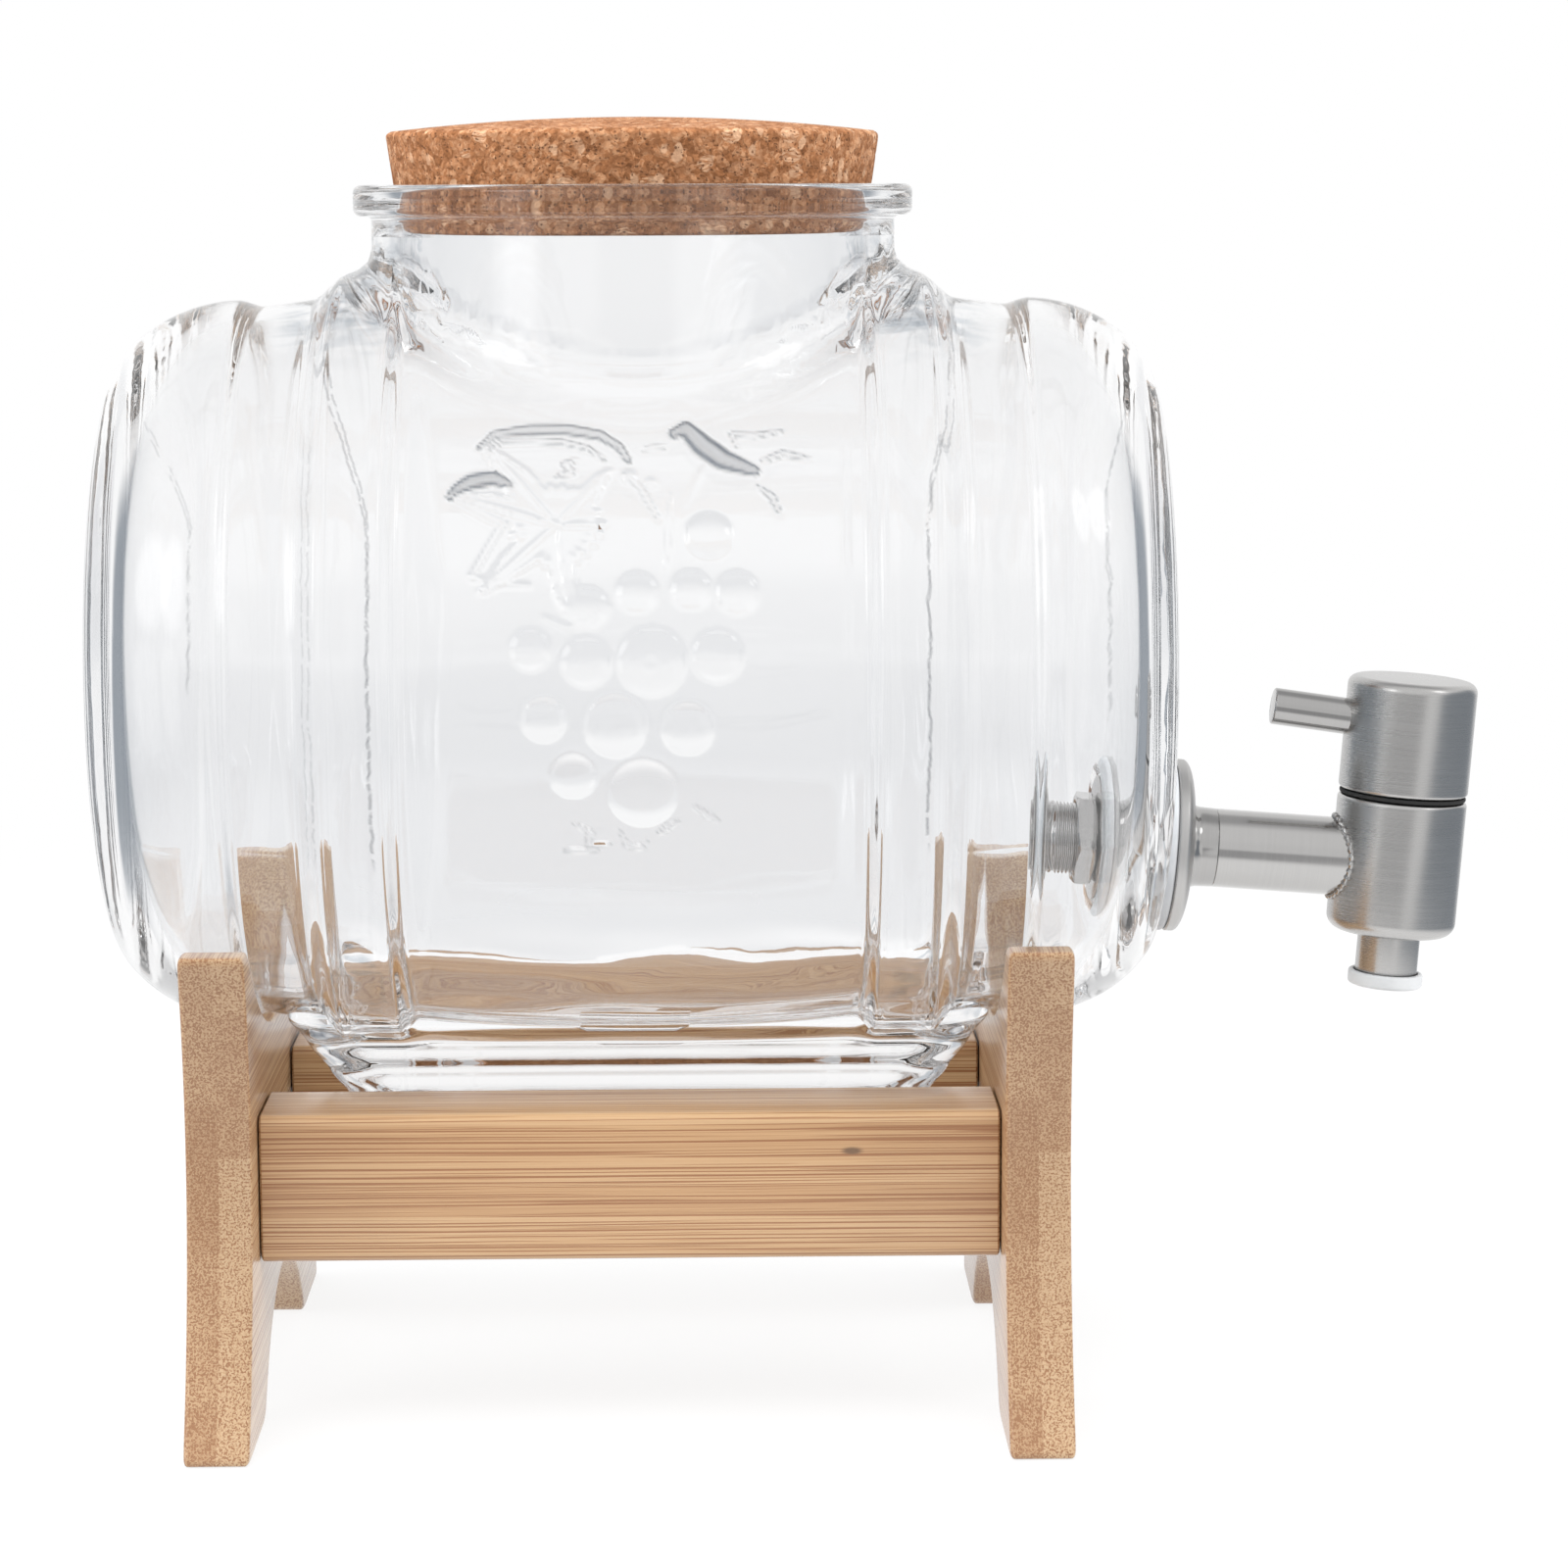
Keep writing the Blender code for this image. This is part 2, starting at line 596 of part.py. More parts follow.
def make_nut(tap, steel, hole_radius):
    """The hexagon nut inside the jar, with corners to the front and back and chamfered ends."""
    corner = NUT_HALF_ACROSS_FLATS / math.cos(math.pi / 6)
    hexagon = [(corner * math.cos(math.pi / 3 * k), corner * math.sin(math.pi / 3 * k)) for k in range(6)]
    nut = place("lock_nut", extruded(hexagon, nut_start - NUT_THICKNESS, NUT_THICKNESS), steel, tap)
    far = corner + NUT_CHAMFER
    crown = [(0.0, 0.0), (NUT_HALF_ACROSS_FLATS - NUT_CHAMFER / 2, 0.0), (far, NUT_CHAMFER)]
    crown += [(far, NUT_THICKNESS - NUT_CHAMFER)]
    crown += [(NUT_HALF_ACROSS_FLATS - NUT_CHAMFER / 2, NUT_THICKNESS), (0.0, NUT_THICKNESS)]
    along = (0.0, math.pi / 2, 0.0)
    start = (nut_start - NUT_THICKNESS, 0.0, 0.0)
    blank = place("nut_crown", spun(crown, TAP_STEPS, False), steel, tap, start, along)
    combine(nut, blank, "INTERSECT")
    bore = rod(hole_radius, NUT_THICKNESS + 2 * OVERRUN, TAP_STEPS)
    bore_start = (nut_start - NUT_THICKNESS - OVERRUN, 0.0, 0.0)
    combine(nut, place("nut_bore", bore, steel, tap, bore_start, along))


def make_tap_body(body, steel, silicone):
    """The upright body with its inlet pipe, spout and the soft ring at the spout's end."""
    along = (0.0, math.pi / 2, 0.0)
    pipe_length = BODY_REACH - pipe_start
    outline = [(PIPE_BORE_RADIUS, 0.0), (PIPE_RADIUS, 0.0), (PIPE_RADIUS, pipe_length)]
    outline += [(PIPE_BORE_RADIUS, pipe_length)]
    pipe = place("inlet_pipe", spun(outline, TAP_STEPS), steel, body, (-pipe_length, 0.0, 0.0), along)
    tall = BODY_TOP + BODY_DEPTH + 2 * OVERRUN
    saddle = rod(BODY_RADIUS + FIT, tall, 2 * TAP_STEPS)
    combine(pipe, place("pipe_saddle", saddle, steel, body, (0.0, 0.0, -BODY_DEPTH - OVERRUN)))
    port = PIPE_BORE_RADIUS - FIT
    outlet = SPOUT_RADIUS - SPOUT_WALL
    socket = SPOUT_RADIUS + FIT
    fillet = BODY_RADIUS - BODY_FILLET
    shell = [(outlet, core_floor), (outlet, SPOUT_SOCKET - BODY_DEPTH)]
    shell += [(socket, SPOUT_SOCKET - BODY_DEPTH), (socket, -BODY_DEPTH)]
    shell += quarter((fillet, BODY_FILLET - BODY_DEPTH), BODY_FILLET, -90, 0)
    shell += [(BODY_RADIUS, BODY_TOP - BODY_EDGE), (BODY_RADIUS - BODY_EDGE, BODY_TOP)]
    shell += [(body_bore_radius, BODY_TOP), (body_bore_radius, core_floor)]
    tap_body = place("tap_body", spun(shell, TAP_STEPS), steel, body)
    inlet = rod(port, BODY_RADIUS, TAP_STEPS)
    inlet_start = (-BODY_RADIUS - OVERRUN, 0.0, 0.0)
    combine(tap_body, place("body_inlet", inlet, steel, body, inlet_start, along))
    top = SPOUT_SOCKET - BODY_DEPTH - FIT
    spout = [(outlet, spout_end), (SPOUT_RADIUS, spout_end), (SPOUT_RADIUS, top), (outlet, top)]
    place("outlet_tube", spun(spout, TAP_STEPS), steel, body)
    sleeve = SPOUT_RADIUS + FIT
    rim = sleeve + TIP_WALL
    lip = spout_end - FIT
    tip = [(outlet, lip), (outlet, lip - TIP_LIP), (rim - TIP_WALL / 2, lip - TIP_LIP)]
    tip += [(rim, lip - TIP_LIP + TIP_WALL / 2), (rim, lip + TIP_LAP), (sleeve, lip + TIP_LAP)]
    place("outlet_tip", spun(tip + [(sleeve, lip)], TAP_STEPS), silicone, body)


def make_valve(body, knob, steel, black_rubber, nylon):
    """The turning core with its O-rings, the nut that holds it down and the bearing ring."""
    clear = STEM_RADIUS + FIT
    nut = body_bore_radius - FIT
    cap = [(clear, cap_nut_bottom), (nut, cap_nut_bottom), (nut, cap_nut_bottom + CAP_NUT_HEIGHT)]
    cap += [(clear, cap_nut_bottom + CAP_NUT_HEIGHT)]
    place("cap_nut", spun(cap, TAP_STEPS), steel, body)
    bearing = [(clear, bearing_bottom), (bearing_radius, bearing_bottom)]
    bearing += [(bearing_radius, bearing_bottom + BEARING_THICKNESS)]
    bearing += [(clear, bearing_bottom + BEARING_THICKNESS)]
    place("bearing_ring", spun(bearing, TAP_STEPS), black_rubber, body)
    ring_radius = body_bore_radius - FIT - O_RING_SECTION
    groove_floor = ring_radius - O_RING_SECTION - FIT
    half_groove = O_RING_SECTION + FIT
    core = [(0.0, core_bottom), (core_radius, core_bottom)]
    middles = (core_bottom + O_RING_INSET, core_top - O_RING_INSET)
    for middle in middles:
        core += [(core_radius, middle - half_groove), (groove_floor, middle - half_groove)]
        core += [(groove_floor, middle + half_groove), (core_radius, middle + half_groove)]
    core += [(core_radius, core_top), (STEM_RADIUS, core_top), (STEM_RADIUS, STEM_HEIGHT)]
    piece = place("valve_core", spun(core + [(0.0, STEM_HEIGHT)], TAP_STEPS, False), nylon, knob)
    down = rod(CORE_OUTLET_RADIUS, OVERRUN - core_bottom + CORE_INLET_RADIUS / 2, SMALL_STEPS)
    combine(piece, place("core_outlet", down, nylon, knob, (0.0, 0.0, core_bottom - OVERRUN)))
    across = rod(CORE_INLET_RADIUS, core_radius + OVERRUN, SMALL_STEPS)
    combine(piece, place("core_inlet", across, nylon, knob, rotation=(-math.pi / 2, 0.0, 0.0)))
    cross = rod(PIN_SPIGOT_RADIUS + FIT, 2 * (STEM_RADIUS + OVERRUN), SMALL_STEPS)
    cross_start = (-STEM_RADIUS - OVERRUN, 0.0, PIN_HEIGHT)
    combine(piece, place("stem_hole", cross, nylon, knob, cross_start, (0.0, math.pi / 2, 0.0)))
    for name, middle in zip(("lower_o_ring", "upper_o_ring"), middles):
        section = quarter((ring_radius, middle), O_RING_SECTION, 0, 360, RING_SECTION_STEPS)[:-1]
        place(name, spun(section, TAP_STEPS), black_rubber, knob)


def make_knob(knob, steel):
    """The hollow knob with its hub, and the lever pin that locks it to the valve's stem."""
    inside = BODY_RADIUS - KNOB_WALL
    roof = knob_top - KNOB_WALL
    stem_end = STEM_HEIGHT + FIT
    shell = [(0.0, stem_end), (stem_hole_radius, stem_end), (stem_hole_radius, knob_bottom)]
    shell += [(hub_radius, knob_bottom), (hub_radius, roof), (inside, roof), (inside, knob_bottom)]
    shell += [(BODY_RADIUS - KNOB_EDGE, knob_bottom), (BODY_RADIUS, knob_bottom + KNOB_EDGE)]
    turn = (BODY_RADIUS - KNOB_ROUNDING, knob_top - KNOB_ROUNDING)
    shell += quarter(turn, KNOB_ROUNDING, 0, 90) + [(0.0, knob_top)]
    piece = place("knob_shell", spun(shell, TAP_STEPS, False), steel, knob)
    across = (0.0, math.pi / 2, 0.0)
    shoulder = hub_radius + FIT
    wide = rod(PIN_RADIUS + FIT, BODY_RADIUS - hub_radius + OVERRUN, SMALL_STEPS)
    wide_start = (-BODY_RADIUS - OVERRUN, 0.0, PIN_HEIGHT)
    combine(piece, place("pin_hole", wide, steel, knob, wide_start, across))
    narrow = rod(PIN_SPIGOT_RADIUS + FIT, hub_radius + PIN_SPIGOT_REACH + FIT, SMALL_STEPS)
    narrow_start = (-hub_radius - FIT, 0.0, PIN_HEIGHT)
    combine(piece, place("pin_spigot_hole", narrow, steel, knob, narrow_start, across))
    length = BODY_RADIUS + PIN_REACH
    pin = [(0.0, -length)]
    pin += quarter((PIN_RADIUS - PIN_ROUNDING, PIN_ROUNDING - length), PIN_ROUNDING, -90, 0)
    pin += [(PIN_RADIUS, -shoulder), (PIN_SPIGOT_RADIUS, -shoulder)]
    pin += [(PIN_SPIGOT_RADIUS, PIN_SPIGOT_REACH), (0.0, PIN_SPIGOT_REACH)]
    place("lever_pin", spun(pin, SMALL_STEPS, False), steel, knob, (0.0, 0.0, PIN_HEIGHT), across)


def main():
    """Empties the scene and builds every piece."""
    for old in list(bpy.data.objects):
        bpy.data.objects.remove(old)
    bamboo = finish("bamboo", (0.73, 0.43, 0.19), 0.45)
    beech = finish("dowel_wood", (0.66, 0.45, 0.26), 0.60)
    glass = finish("clear_glass", (0.95, 0.97, 0.97), 0.02, transmission=1.0)
    cork = finish("pressed_cork", (0.51, 0.22, 0.10), 0.85)
    steel = finish("brushed_steel", (0.60, 0.60, 0.60), 0.28, metallic=1.0)
    grey_rubber = finish("grey_silicone", (0.55, 0.55, 0.55), 0.50)
    white_rubber = finish("white_silicone", (0.80, 0.80, 0.80), 0.50)
    black_rubber = finish("black_rubber", (0.02, 0.02, 0.02), 0.60)
    silicone = finish("clear_silicone", (0.80, 0.82, 0.82), 0.35, transmission=0.6)
    nylon = finish("white_nylon", (0.80, 0.80, 0.78), 0.45)
    root = pivot("dispenser", location=(-middle_x, 0.0, 0.0))
    stand = pivot("stand_middle", root, (-BARREL_OFFSET, 0.0, 0.0))
    make_stand(stand, bamboo, beech)
    jar = make_jar(root, glass)
    make_cork(root, cork)
    tap_place = (wall_x, 0.0, axis_height - tap_below_axis)
    tap = pivot("tap_axis", root, tap_place, (0.0, tap_droop, 0.0))
    make_tap_mounting(jar, tap, steel, grey_rubber, white_rubber)
    body = pivot("tap_body_axis", tap, (BODY_REACH, 0.0, 0.0))
    make_tap_body(body, steel, silicone)
    knob = pivot("knob_axis", body)
    make_valve(body, knob, steel, black_rubber, nylon)
    make_knob(knob, steel)


main()
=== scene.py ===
"""Looks of a glass drink dispenser: a barrel jar in a bamboo stand, with a cork and a steel tap.

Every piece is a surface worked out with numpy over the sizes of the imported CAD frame, in metres.
"""
import json
import math

import bpy
import numpy as np
from bpy.props import FloatProperty, FloatVectorProperty, PointerProperty
from mathutils import Matrix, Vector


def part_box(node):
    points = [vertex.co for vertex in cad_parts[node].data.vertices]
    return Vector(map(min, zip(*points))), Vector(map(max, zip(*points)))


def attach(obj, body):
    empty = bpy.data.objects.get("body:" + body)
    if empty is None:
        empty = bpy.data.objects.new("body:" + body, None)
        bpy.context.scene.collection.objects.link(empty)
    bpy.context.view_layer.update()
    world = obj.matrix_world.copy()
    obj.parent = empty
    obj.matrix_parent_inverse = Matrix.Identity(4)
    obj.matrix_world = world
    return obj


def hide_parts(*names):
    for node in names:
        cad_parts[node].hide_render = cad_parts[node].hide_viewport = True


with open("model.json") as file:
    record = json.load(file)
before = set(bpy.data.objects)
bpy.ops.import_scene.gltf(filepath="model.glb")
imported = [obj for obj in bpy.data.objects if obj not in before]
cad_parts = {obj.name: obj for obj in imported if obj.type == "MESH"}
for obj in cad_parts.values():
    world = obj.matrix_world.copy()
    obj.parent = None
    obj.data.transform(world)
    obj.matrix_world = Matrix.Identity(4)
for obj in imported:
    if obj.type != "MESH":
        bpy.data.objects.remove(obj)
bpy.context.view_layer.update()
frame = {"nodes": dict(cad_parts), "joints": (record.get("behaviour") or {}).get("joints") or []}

bl_info = {
    "name": "Glass drink dispenser looks",
    "version": (1, 0, 0),
    "blender": (4, 5, 0),
    "location": "3D View > Sidebar > Dispenser",
    "description": "Builds the glass jar, cork, bamboo stand and steel tap around their CAD frame",
    "category": "Object",
}

# Places read from the frame
jar_low, jar_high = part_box("glass_jar")
cork_low, cork_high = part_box("cork_stopper")
left_low, left_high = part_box("left_end_frame")
right_low, right_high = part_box("right_end_frame")
knob_joint = next(joint for joint in frame["joints"] if joint["name"] == "knob_turn")
body_axis = np.array(knob_joint["axis"])
body_middle = np.array(knob_joint["pos_m"])

# Glass barrel
middle_x = (jar_low.x + jar_high.x) / 2
rim_top = jar_high.z
crest_radius = (jar_high.y - jar_low.y) / 2
foot_bottom = jar_low.z
END_HALF_LENGTH = 0.1095
BELLY_RISE = 0.0038
NECK_STAND = 0.0194
END_DOME_RADIUS = 0.5150
SHOULDER_RADIUS = 0.0305
SHOULDER_CROP = 0.0015
CORNER_SOFTNESS = 0.0010
BAND_RADIUS = 0.0742
BAND_FLAT = 0.0025
GROOVE_DEPTH = 0.0014
GROOVE_SLOPE = 0.0030
HOOP_SETBACK = 0.0147
HOOP_WIDTH = 0.0158
HOOP_INNER_SLOPE = 0.0040
HOOP_OUTER_SLOPE = 0.0052
HOOP_FOLLOW_SHARE = 0.5
REAR_SOFTNESS = 1.0
REAR_GROOVE_REACH = 0.0022
GLASS_WALL = 0.0045
END_WALL = 0.0076
belly_top_radius = BAND_RADIUS + BELLY_RISE
axis_height = rim_top - NECK_STAND - belly_top_radius
groove_radius = BAND_RADIUS - GROOVE_DEPTH
shoulder_x = END_HALF_LENGTH - SHOULDER_RADIUS + SHOULDER_CROP
band_edge_x = shoulder_x - BAND_FLAT
groove_x = band_edge_x - GROOVE_DEPTH
hoop_outer_x = groove_x - HOOP_SETBACK
hoop_inner_x = hoop_outer_x - HOOP_WIDTH
END_SQUEEZE = (END_HALF_LENGTH - END_WALL - shoulder_x) / (END_HALF_LENGTH - GLASS_WALL - shoulder_x)

# Glass neck and foot
MOUTH_RADIUS = 0.0490
NECK_WALL = 0.0043
RIM_LIP = 0.0037
RIM_HEIGHT = 0.0063
RIM_ROUNDING = 0.0016
CORK_TAPER_SHARE = 0.146
FIT = 0.0003
neck_radius = MOUTH_RADIUS + NECK_WALL
rim_radius = neck_radius + RIM_LIP
bore_low_radius = MOUTH_RADIUS - CORK_TAPER_SHARE * (rim_top - cork_low.z)
NECK_INSET, NECK_CAP = 0.0009, 0.011
BORE_INSET, BORE_CAP, BORE_FILLET = 0.0008, 0.012, 0.006
FLOW_ROUNDS = 24
FOOT_HALF_LENGTH = 0.0593
FOOT_HALF_WIDTH = 0.01744
FOOT_FLARE_SHARE = 0.62
FOOT_CORNER = 0.0120
FOOT_FLARE_TOP = 0.0206

# Tap, along its axis from the glass
INNER_SEAT = -0.004692
BODY_REACH = 0.0510
BODY_RADIUS = 0.01345
PIPE_RADIUS = 0.0082
SHANK_HOLE = 0.00775
GASKET = 0.0012
WASHER = 0.0008
tap_along = np.array([body_axis[2], 0.0, -body_axis[0]])
tap_root = body_middle - BODY_REACH * tap_along


def smooth(value, start, end):
    """Smooth step: 0 below start, 1 above end, and 3t^2 - 2t^3 between them."""
    share = np.clip((value - start) / (end - start), 0.0, 1.0)
    return share * share * (3 - 2 * share)


def spans(*stretches):
    """Stations along a line: each stretch is (start, end, count), and shared ends are kept once."""
    parts = [np.linspace(start, end, count, endpoint=False) for start, end, count in stretches]
    return np.concatenate(parts + [[stretches[-1][1]]])


def ripple(first, second, seed, wavelength, rows=9):
    """A smooth random wave of two lengths: a sum of sines in turned directions, about 1 high."""
    random = np.random.default_rng(seed)
    total = np.zeros(np.broadcast(first, second).shape)
    for _ in range(rows):
        turn = random.uniform(0, math.tau)
        phase = random.uniform(0, math.tau)
        rate = math.tau / (wavelength * random.uniform(0.7, 1.8))
        total += np.sin(rate * (first * math.cos(turn) + second * math.sin(turn)) + phase)
    return total / math.sqrt(rows)


# Meshes

def grid_faces(rows, columns, wrap_rows=False):
    """Quads between neighbouring rings of points that are numbered ring by ring."""
    row = np.arange(rows if wrap_rows else rows - 1)[:, None]
    column = np.arange(columns)[None, :]
    below, beside = (row + 1) % rows, (column + 1) % columns
    corners = (row * columns + column, row * columns + beside, below * columns + beside,
               below * columns + column)
    return np.stack(np.broadcast_arrays(*corners), -1).reshape(-1, 4)


def fan(ring, tip):
    """Triangles from a closed ring of points to one tip."""
    return np.stack([ring, np.roll(ring, -1), np.full(len(ring), tip)], -1)


def capped(grid, poles):
    """Points and faces of a stack of rings with a fan of triangles at each end to one pole."""
    rows, columns = grid.shape[:2]
    ring = np.arange(columns)
    faces = [grid_faces(rows, columns), fan(ring[::-1], rows * columns),
             fan(ring + (rows - 1) * columns, rows * columns + 1)]
    return np.vstack([grid.reshape(-1, 3), poles]), faces


def signed_volume(points, faces):
    """Six times the volume that the faces hold, plus when they point outwards."""
    total = 0.0
    for group in faces:
        group = np.asarray(group)
        for step in range(1, group.shape[1] - 1):
            a, b, c = (points[group[:, k]] for k in (0, step, step + 1))
            total += np.einsum("ij,ij->", a, np.cross(b, c))
    return total


def mesh_of(name, points, faces, sharp_deg=35):
    """A mesh object of the points and groups of faces, turned so that the faces point outwards."""
    points = np.asarray(points, float).reshape(-1, 3)
    centred = points - points.mean(0)
    inside_out = signed_volume(centred, faces) < 0
    listed = []
    for group in faces:
        group = np.asarray(group)
        listed += (group[:, ::-1] if inside_out else group).tolist()
    data = bpy.data.meshes.new(name)
    data.from_pydata(points, [], listed)
    data.validate()
    data.shade_smooth()
    data.set_sharp_from_angle(angle=math.radians(sharp_deg))
    made = bpy.data.objects.new(name, data)
    bpy.context.scene.collection.objects.link(made)
    return made


def stacked(name, rings, sharp_deg=35):
    """A solid between rings of as many points each, with a flat face at both ends."""
    ring = np.arange(len(rings[0]))[None, :]
    faces = [grid_faces(len(rings), ring.size), ring[:, ::-1], ring + (len(rings) - 1) * ring.size]
    return mesh_of(name, np.vstack(rings), faces, sharp_deg)


def turned(name, profile, place, steps=96, closed=False, sharp_deg=35):
    """A profile turned once round Z, then put in its place.

    x = radius cos(turn), y = radius sin(turn), z = height. The profile is its radii and its heights,
    one number a ring, or one a point. A closed profile joins its last ring to its first. An open one
    starts and ends on the axis, where its first and last rings are one point each.
    """
    turn = np.arange(steps) * math.tau / steps
    radii, heights = (np.asarray(part, float) for part in profile)
    radii, heights = (part[:, None] if part.ndim == 1 else part for part in (radii, heights))
    grid = np.stack(np.broadcast_arrays(radii * np.cos(turn), radii * np.sin(turn), heights), -1)
    if closed:
        points, faces = grid.reshape(-1, 3), [grid_faces(len(grid), steps, wrap_rows=True)]
    else:
        points, faces = capped(grid[1:-1], [grid[0, 0], grid[-1, 0]])
    return mesh_of(name, points @ place[:3, :3].T + place[:3, 3], faces, sharp_deg)


def filleted(corners, steps=5):
    """Profile points (radius, height) from corners (radius, height, fillet radius).

    Each corner with a fillet becomes an arc that touches both of its sides.
    """
    spots = np.array([corner[:2] for corner in corners], float)
    points = []
    for index, (x, y, fillet) in enumerate(corners):
        if fillet == 0:
            points.append((x, y))
            continue
        before = spots[index - 1] - spots[index]
        after = spots[(index + 1) % len(spots)] - spots[index]
        before, after = before / np.linalg.norm(before), after / np.linalg.norm(after)
        half = math.acos(np.clip(before @ after, -1, 1)) / 2
        reach = fillet / math.tan(half)
        middle = spots[index] + (before + after) / np.linalg.norm(before + after) * fillet / math.sin(half)
        first = spots[index] + before * reach - middle
        last = spots[index] + after * reach - middle
        sweep = math.pi - 2 * half
        for step in range(steps + 1):
            share = step / steps
            blend = (math.sin((1 - share) * sweep) * first + math.sin(share * sweep) * last)
            points.append(tuple(middle + blend / math.sin(sweep)))
    return np.array(points)


def applied(target, *cuts):
    """Runs (operation, tool) booleans on the target, keeps the result and deletes the tools."""
    for operation, tool in cuts:
        modifier = target.modifiers.new(tool.name, "BOOLEAN")
        modifier.operation = operation
        modifier.solver = "EXACT"
        modifier.object = tool
    bpy.context.view_layer.update()
    result = target.evaluated_get(bpy.context.evaluated_depsgraph_get())
    data = bpy.data.meshes.new_from_object(result)
    target.modifiers.clear()
    old, target.data = target.data, data
    bpy.data.meshes.remove(old)
    data.name = target.name
    for _, tool in cuts:
        bpy.data.objects.remove(tool)
    return target


def settle(piece, body, slot, material, *nodes):
    """Gives a piece its material and its body, and hides the CAD nodes that it stands for. Its slot is not
    used.
    """
    piece.data.materials.clear()
    piece.data.materials.append(material)
    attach(piece, body)
    if nodes:
        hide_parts(*nodes)
    return piece


def placed(x_axis, z_axis, origin):
    """A place with its own X, Z and origin. Its Y is the world's."""
    place = np.eye(4)
    place[:3, 0], place[:3, 1], place[:3, 2], place[:3, 3] = x_axis, (0.0, 1.0, 0.0), z_axis, origin
    return place


# Places that profiles are turned in: the jar's neck, the tap along its axis, and the tap's upright body
NECK_PLACE = np.array(Matrix.Translation((middle_x, 0.0, 0.0)))
TAP_PLACE = placed(-body_axis, tap_along, tap_root)
BODY_PLACE = placed(tap_along, body_axis, body_middle)


# Shape of the glass

def belly(x):
    """Barrel radius between the grooves: a parabola that is fullest in the middle."""
    return groove_radius + (belly_top_radius - groove_radius) * (1 - (x / groove_x) ** 2)


def end_distance(radius, wall):
    """How far the domed end lies from the middle: a soft minimum of the dome and the shoulder arc."""
    dome, arc = END_DOME_RADIUS - wall, SHOULDER_RADIUS - wall
    dome_x = END_HALF_LENGTH - wall - dome + np.sqrt(dome ** 2 - radius ** 2)
    over = np.clip(radius - (BAND_RADIUS - SHOULDER_RADIUS), 0.0, arc)
    arc_x = shoulder_x + np.sqrt(arc ** 2 - over ** 2)
    gap = np.abs(dome_x - arc_x) / CORNER_SOFTNESS
    return np.minimum(dome_x, arc_x) - CORNER_SOFTNESS * np.log1p(np.exp(-gap))


def end_profile(wall, arc_count, dome_count):
    """(radius, x) of one domed end, from the shoulder's start to the pole."""
    steepest = math.radians(64)
    angle = np.linspace(0.0, steepest, arc_count, endpoint=False)
    centre, arc = BAND_RADIUS - SHOULDER_RADIUS, SHOULDER_RADIUS - wall
    radius = np.concatenate([centre + arc * np.cos(angle),
                             (centre + arc * math.cos(steepest)) * np.linspace(1.0, 0.0, dome_count)])
    x = end_distance(radius, wall)
    x[0] = shoulder_x
    return radius, x


def hoop_share(x, softness=1.0):
    """How much of a hoop stands at each station: a smooth step up at one edge and down at the other."""
    inner, outer = (softness * slope / 2 for slope in (HOOP_INNER_SLOPE, HOOP_OUTER_SLOPE))
    return (smooth(x, hoop_inner_x - inner, hoop_inner_x + inner)
            * (1 - smooth(x, hoop_outer_x - outer, hoop_outer_x + outer)))


def continued(profile, end):
    """A profile (radius, x) that goes on with another, which starts where it ends."""
    return tuple(np.concatenate([first[:-1], last]) for first, last in zip(profile, end))


def outer_profile():
    """(radius, x) of half the outside of the barrel, from the middle to the pole at +X."""
    relief_end, inner, outer, groove = 0.038, 0.003, 0.0035, 0.002
    x = spans((0.0, relief_end, 64), (relief_end, hoop_inner_x - inner, 4),
              (hoop_inner_x - inner, hoop_inner_x + inner, 12),
              (hoop_inner_x + inner, hoop_outer_x - outer, 4),
              (hoop_outer_x - outer, hoop_outer_x + outer, 14),
              (hoop_outer_x + outer, groove_x - groove, 6), (groove_x - groove, shoulder_x, 12))
    base = belly(np.minimum(x, groove_x))
    radius = base + (crest_radius - base) * hoop_share(x)
    radius += (BAND_RADIUS - groove_radius) * smooth(x, groove_x, groove_x + GROOVE_SLOPE)
    return continued((radius, x), end_profile(0.0, 28, 10))


def cavity_profile():
    """(radius, x) of half the room inside: it follows the hoops softly, and its wall thickens at the end."""
    hoop_start, hoop_end = hoop_inner_x - 0.005, hoop_outer_x + 0.006
    x = spans((0.0, hoop_start, 24), (hoop_start, hoop_end, 24), (hoop_end, shoulder_x, 8))
    radius = BAND_RADIUS - GLASS_WALL + (belly_top_radius - BAND_RADIUS) * (1 - (x / shoulder_x) ** 2)
    radius += HOOP_FOLLOW_SHARE * (crest_radius - belly(x)) * hoop_share(x, 1.8)
    end_radius, end_x = end_profile(GLASS_WALL, 34, 14)
    return continued((radius, x), (end_radius, shoulder_x + END_SQUEEZE * (end_x - shoulder_x)))


def barrel_points(profile, angles, shape):
    """The barrel's points and faces: at each station x and angle, (x, -r cos, r sin) about its axis.

    profile gives (radius, x) from the middle to a pole, and is mirrored. shape(x, angle, radius)
    gives the radius after relief, waves and fillets. The two poles are one point each.
    """
    radius, x = profile
    radius = np.concatenate([radius[:0:-1], radius])
    x = np.concatenate([-x[:0:-1], x])
    grown = shape(x[1:-1, None], angles[None, :], radius[1:-1, None] + 0 * angles[None, :])
    grid = np.stack(np.broadcast_arrays(middle_x + x[1:-1, None], -grown * np.cos(angles),
                                        axis_height + grown * np.sin(angles)), -1)
    poles = np.array([[middle_x + x[0], 0, axis_height], [middle_x + x[-1], 0, axis_height]])
    return capped(grid, poles)


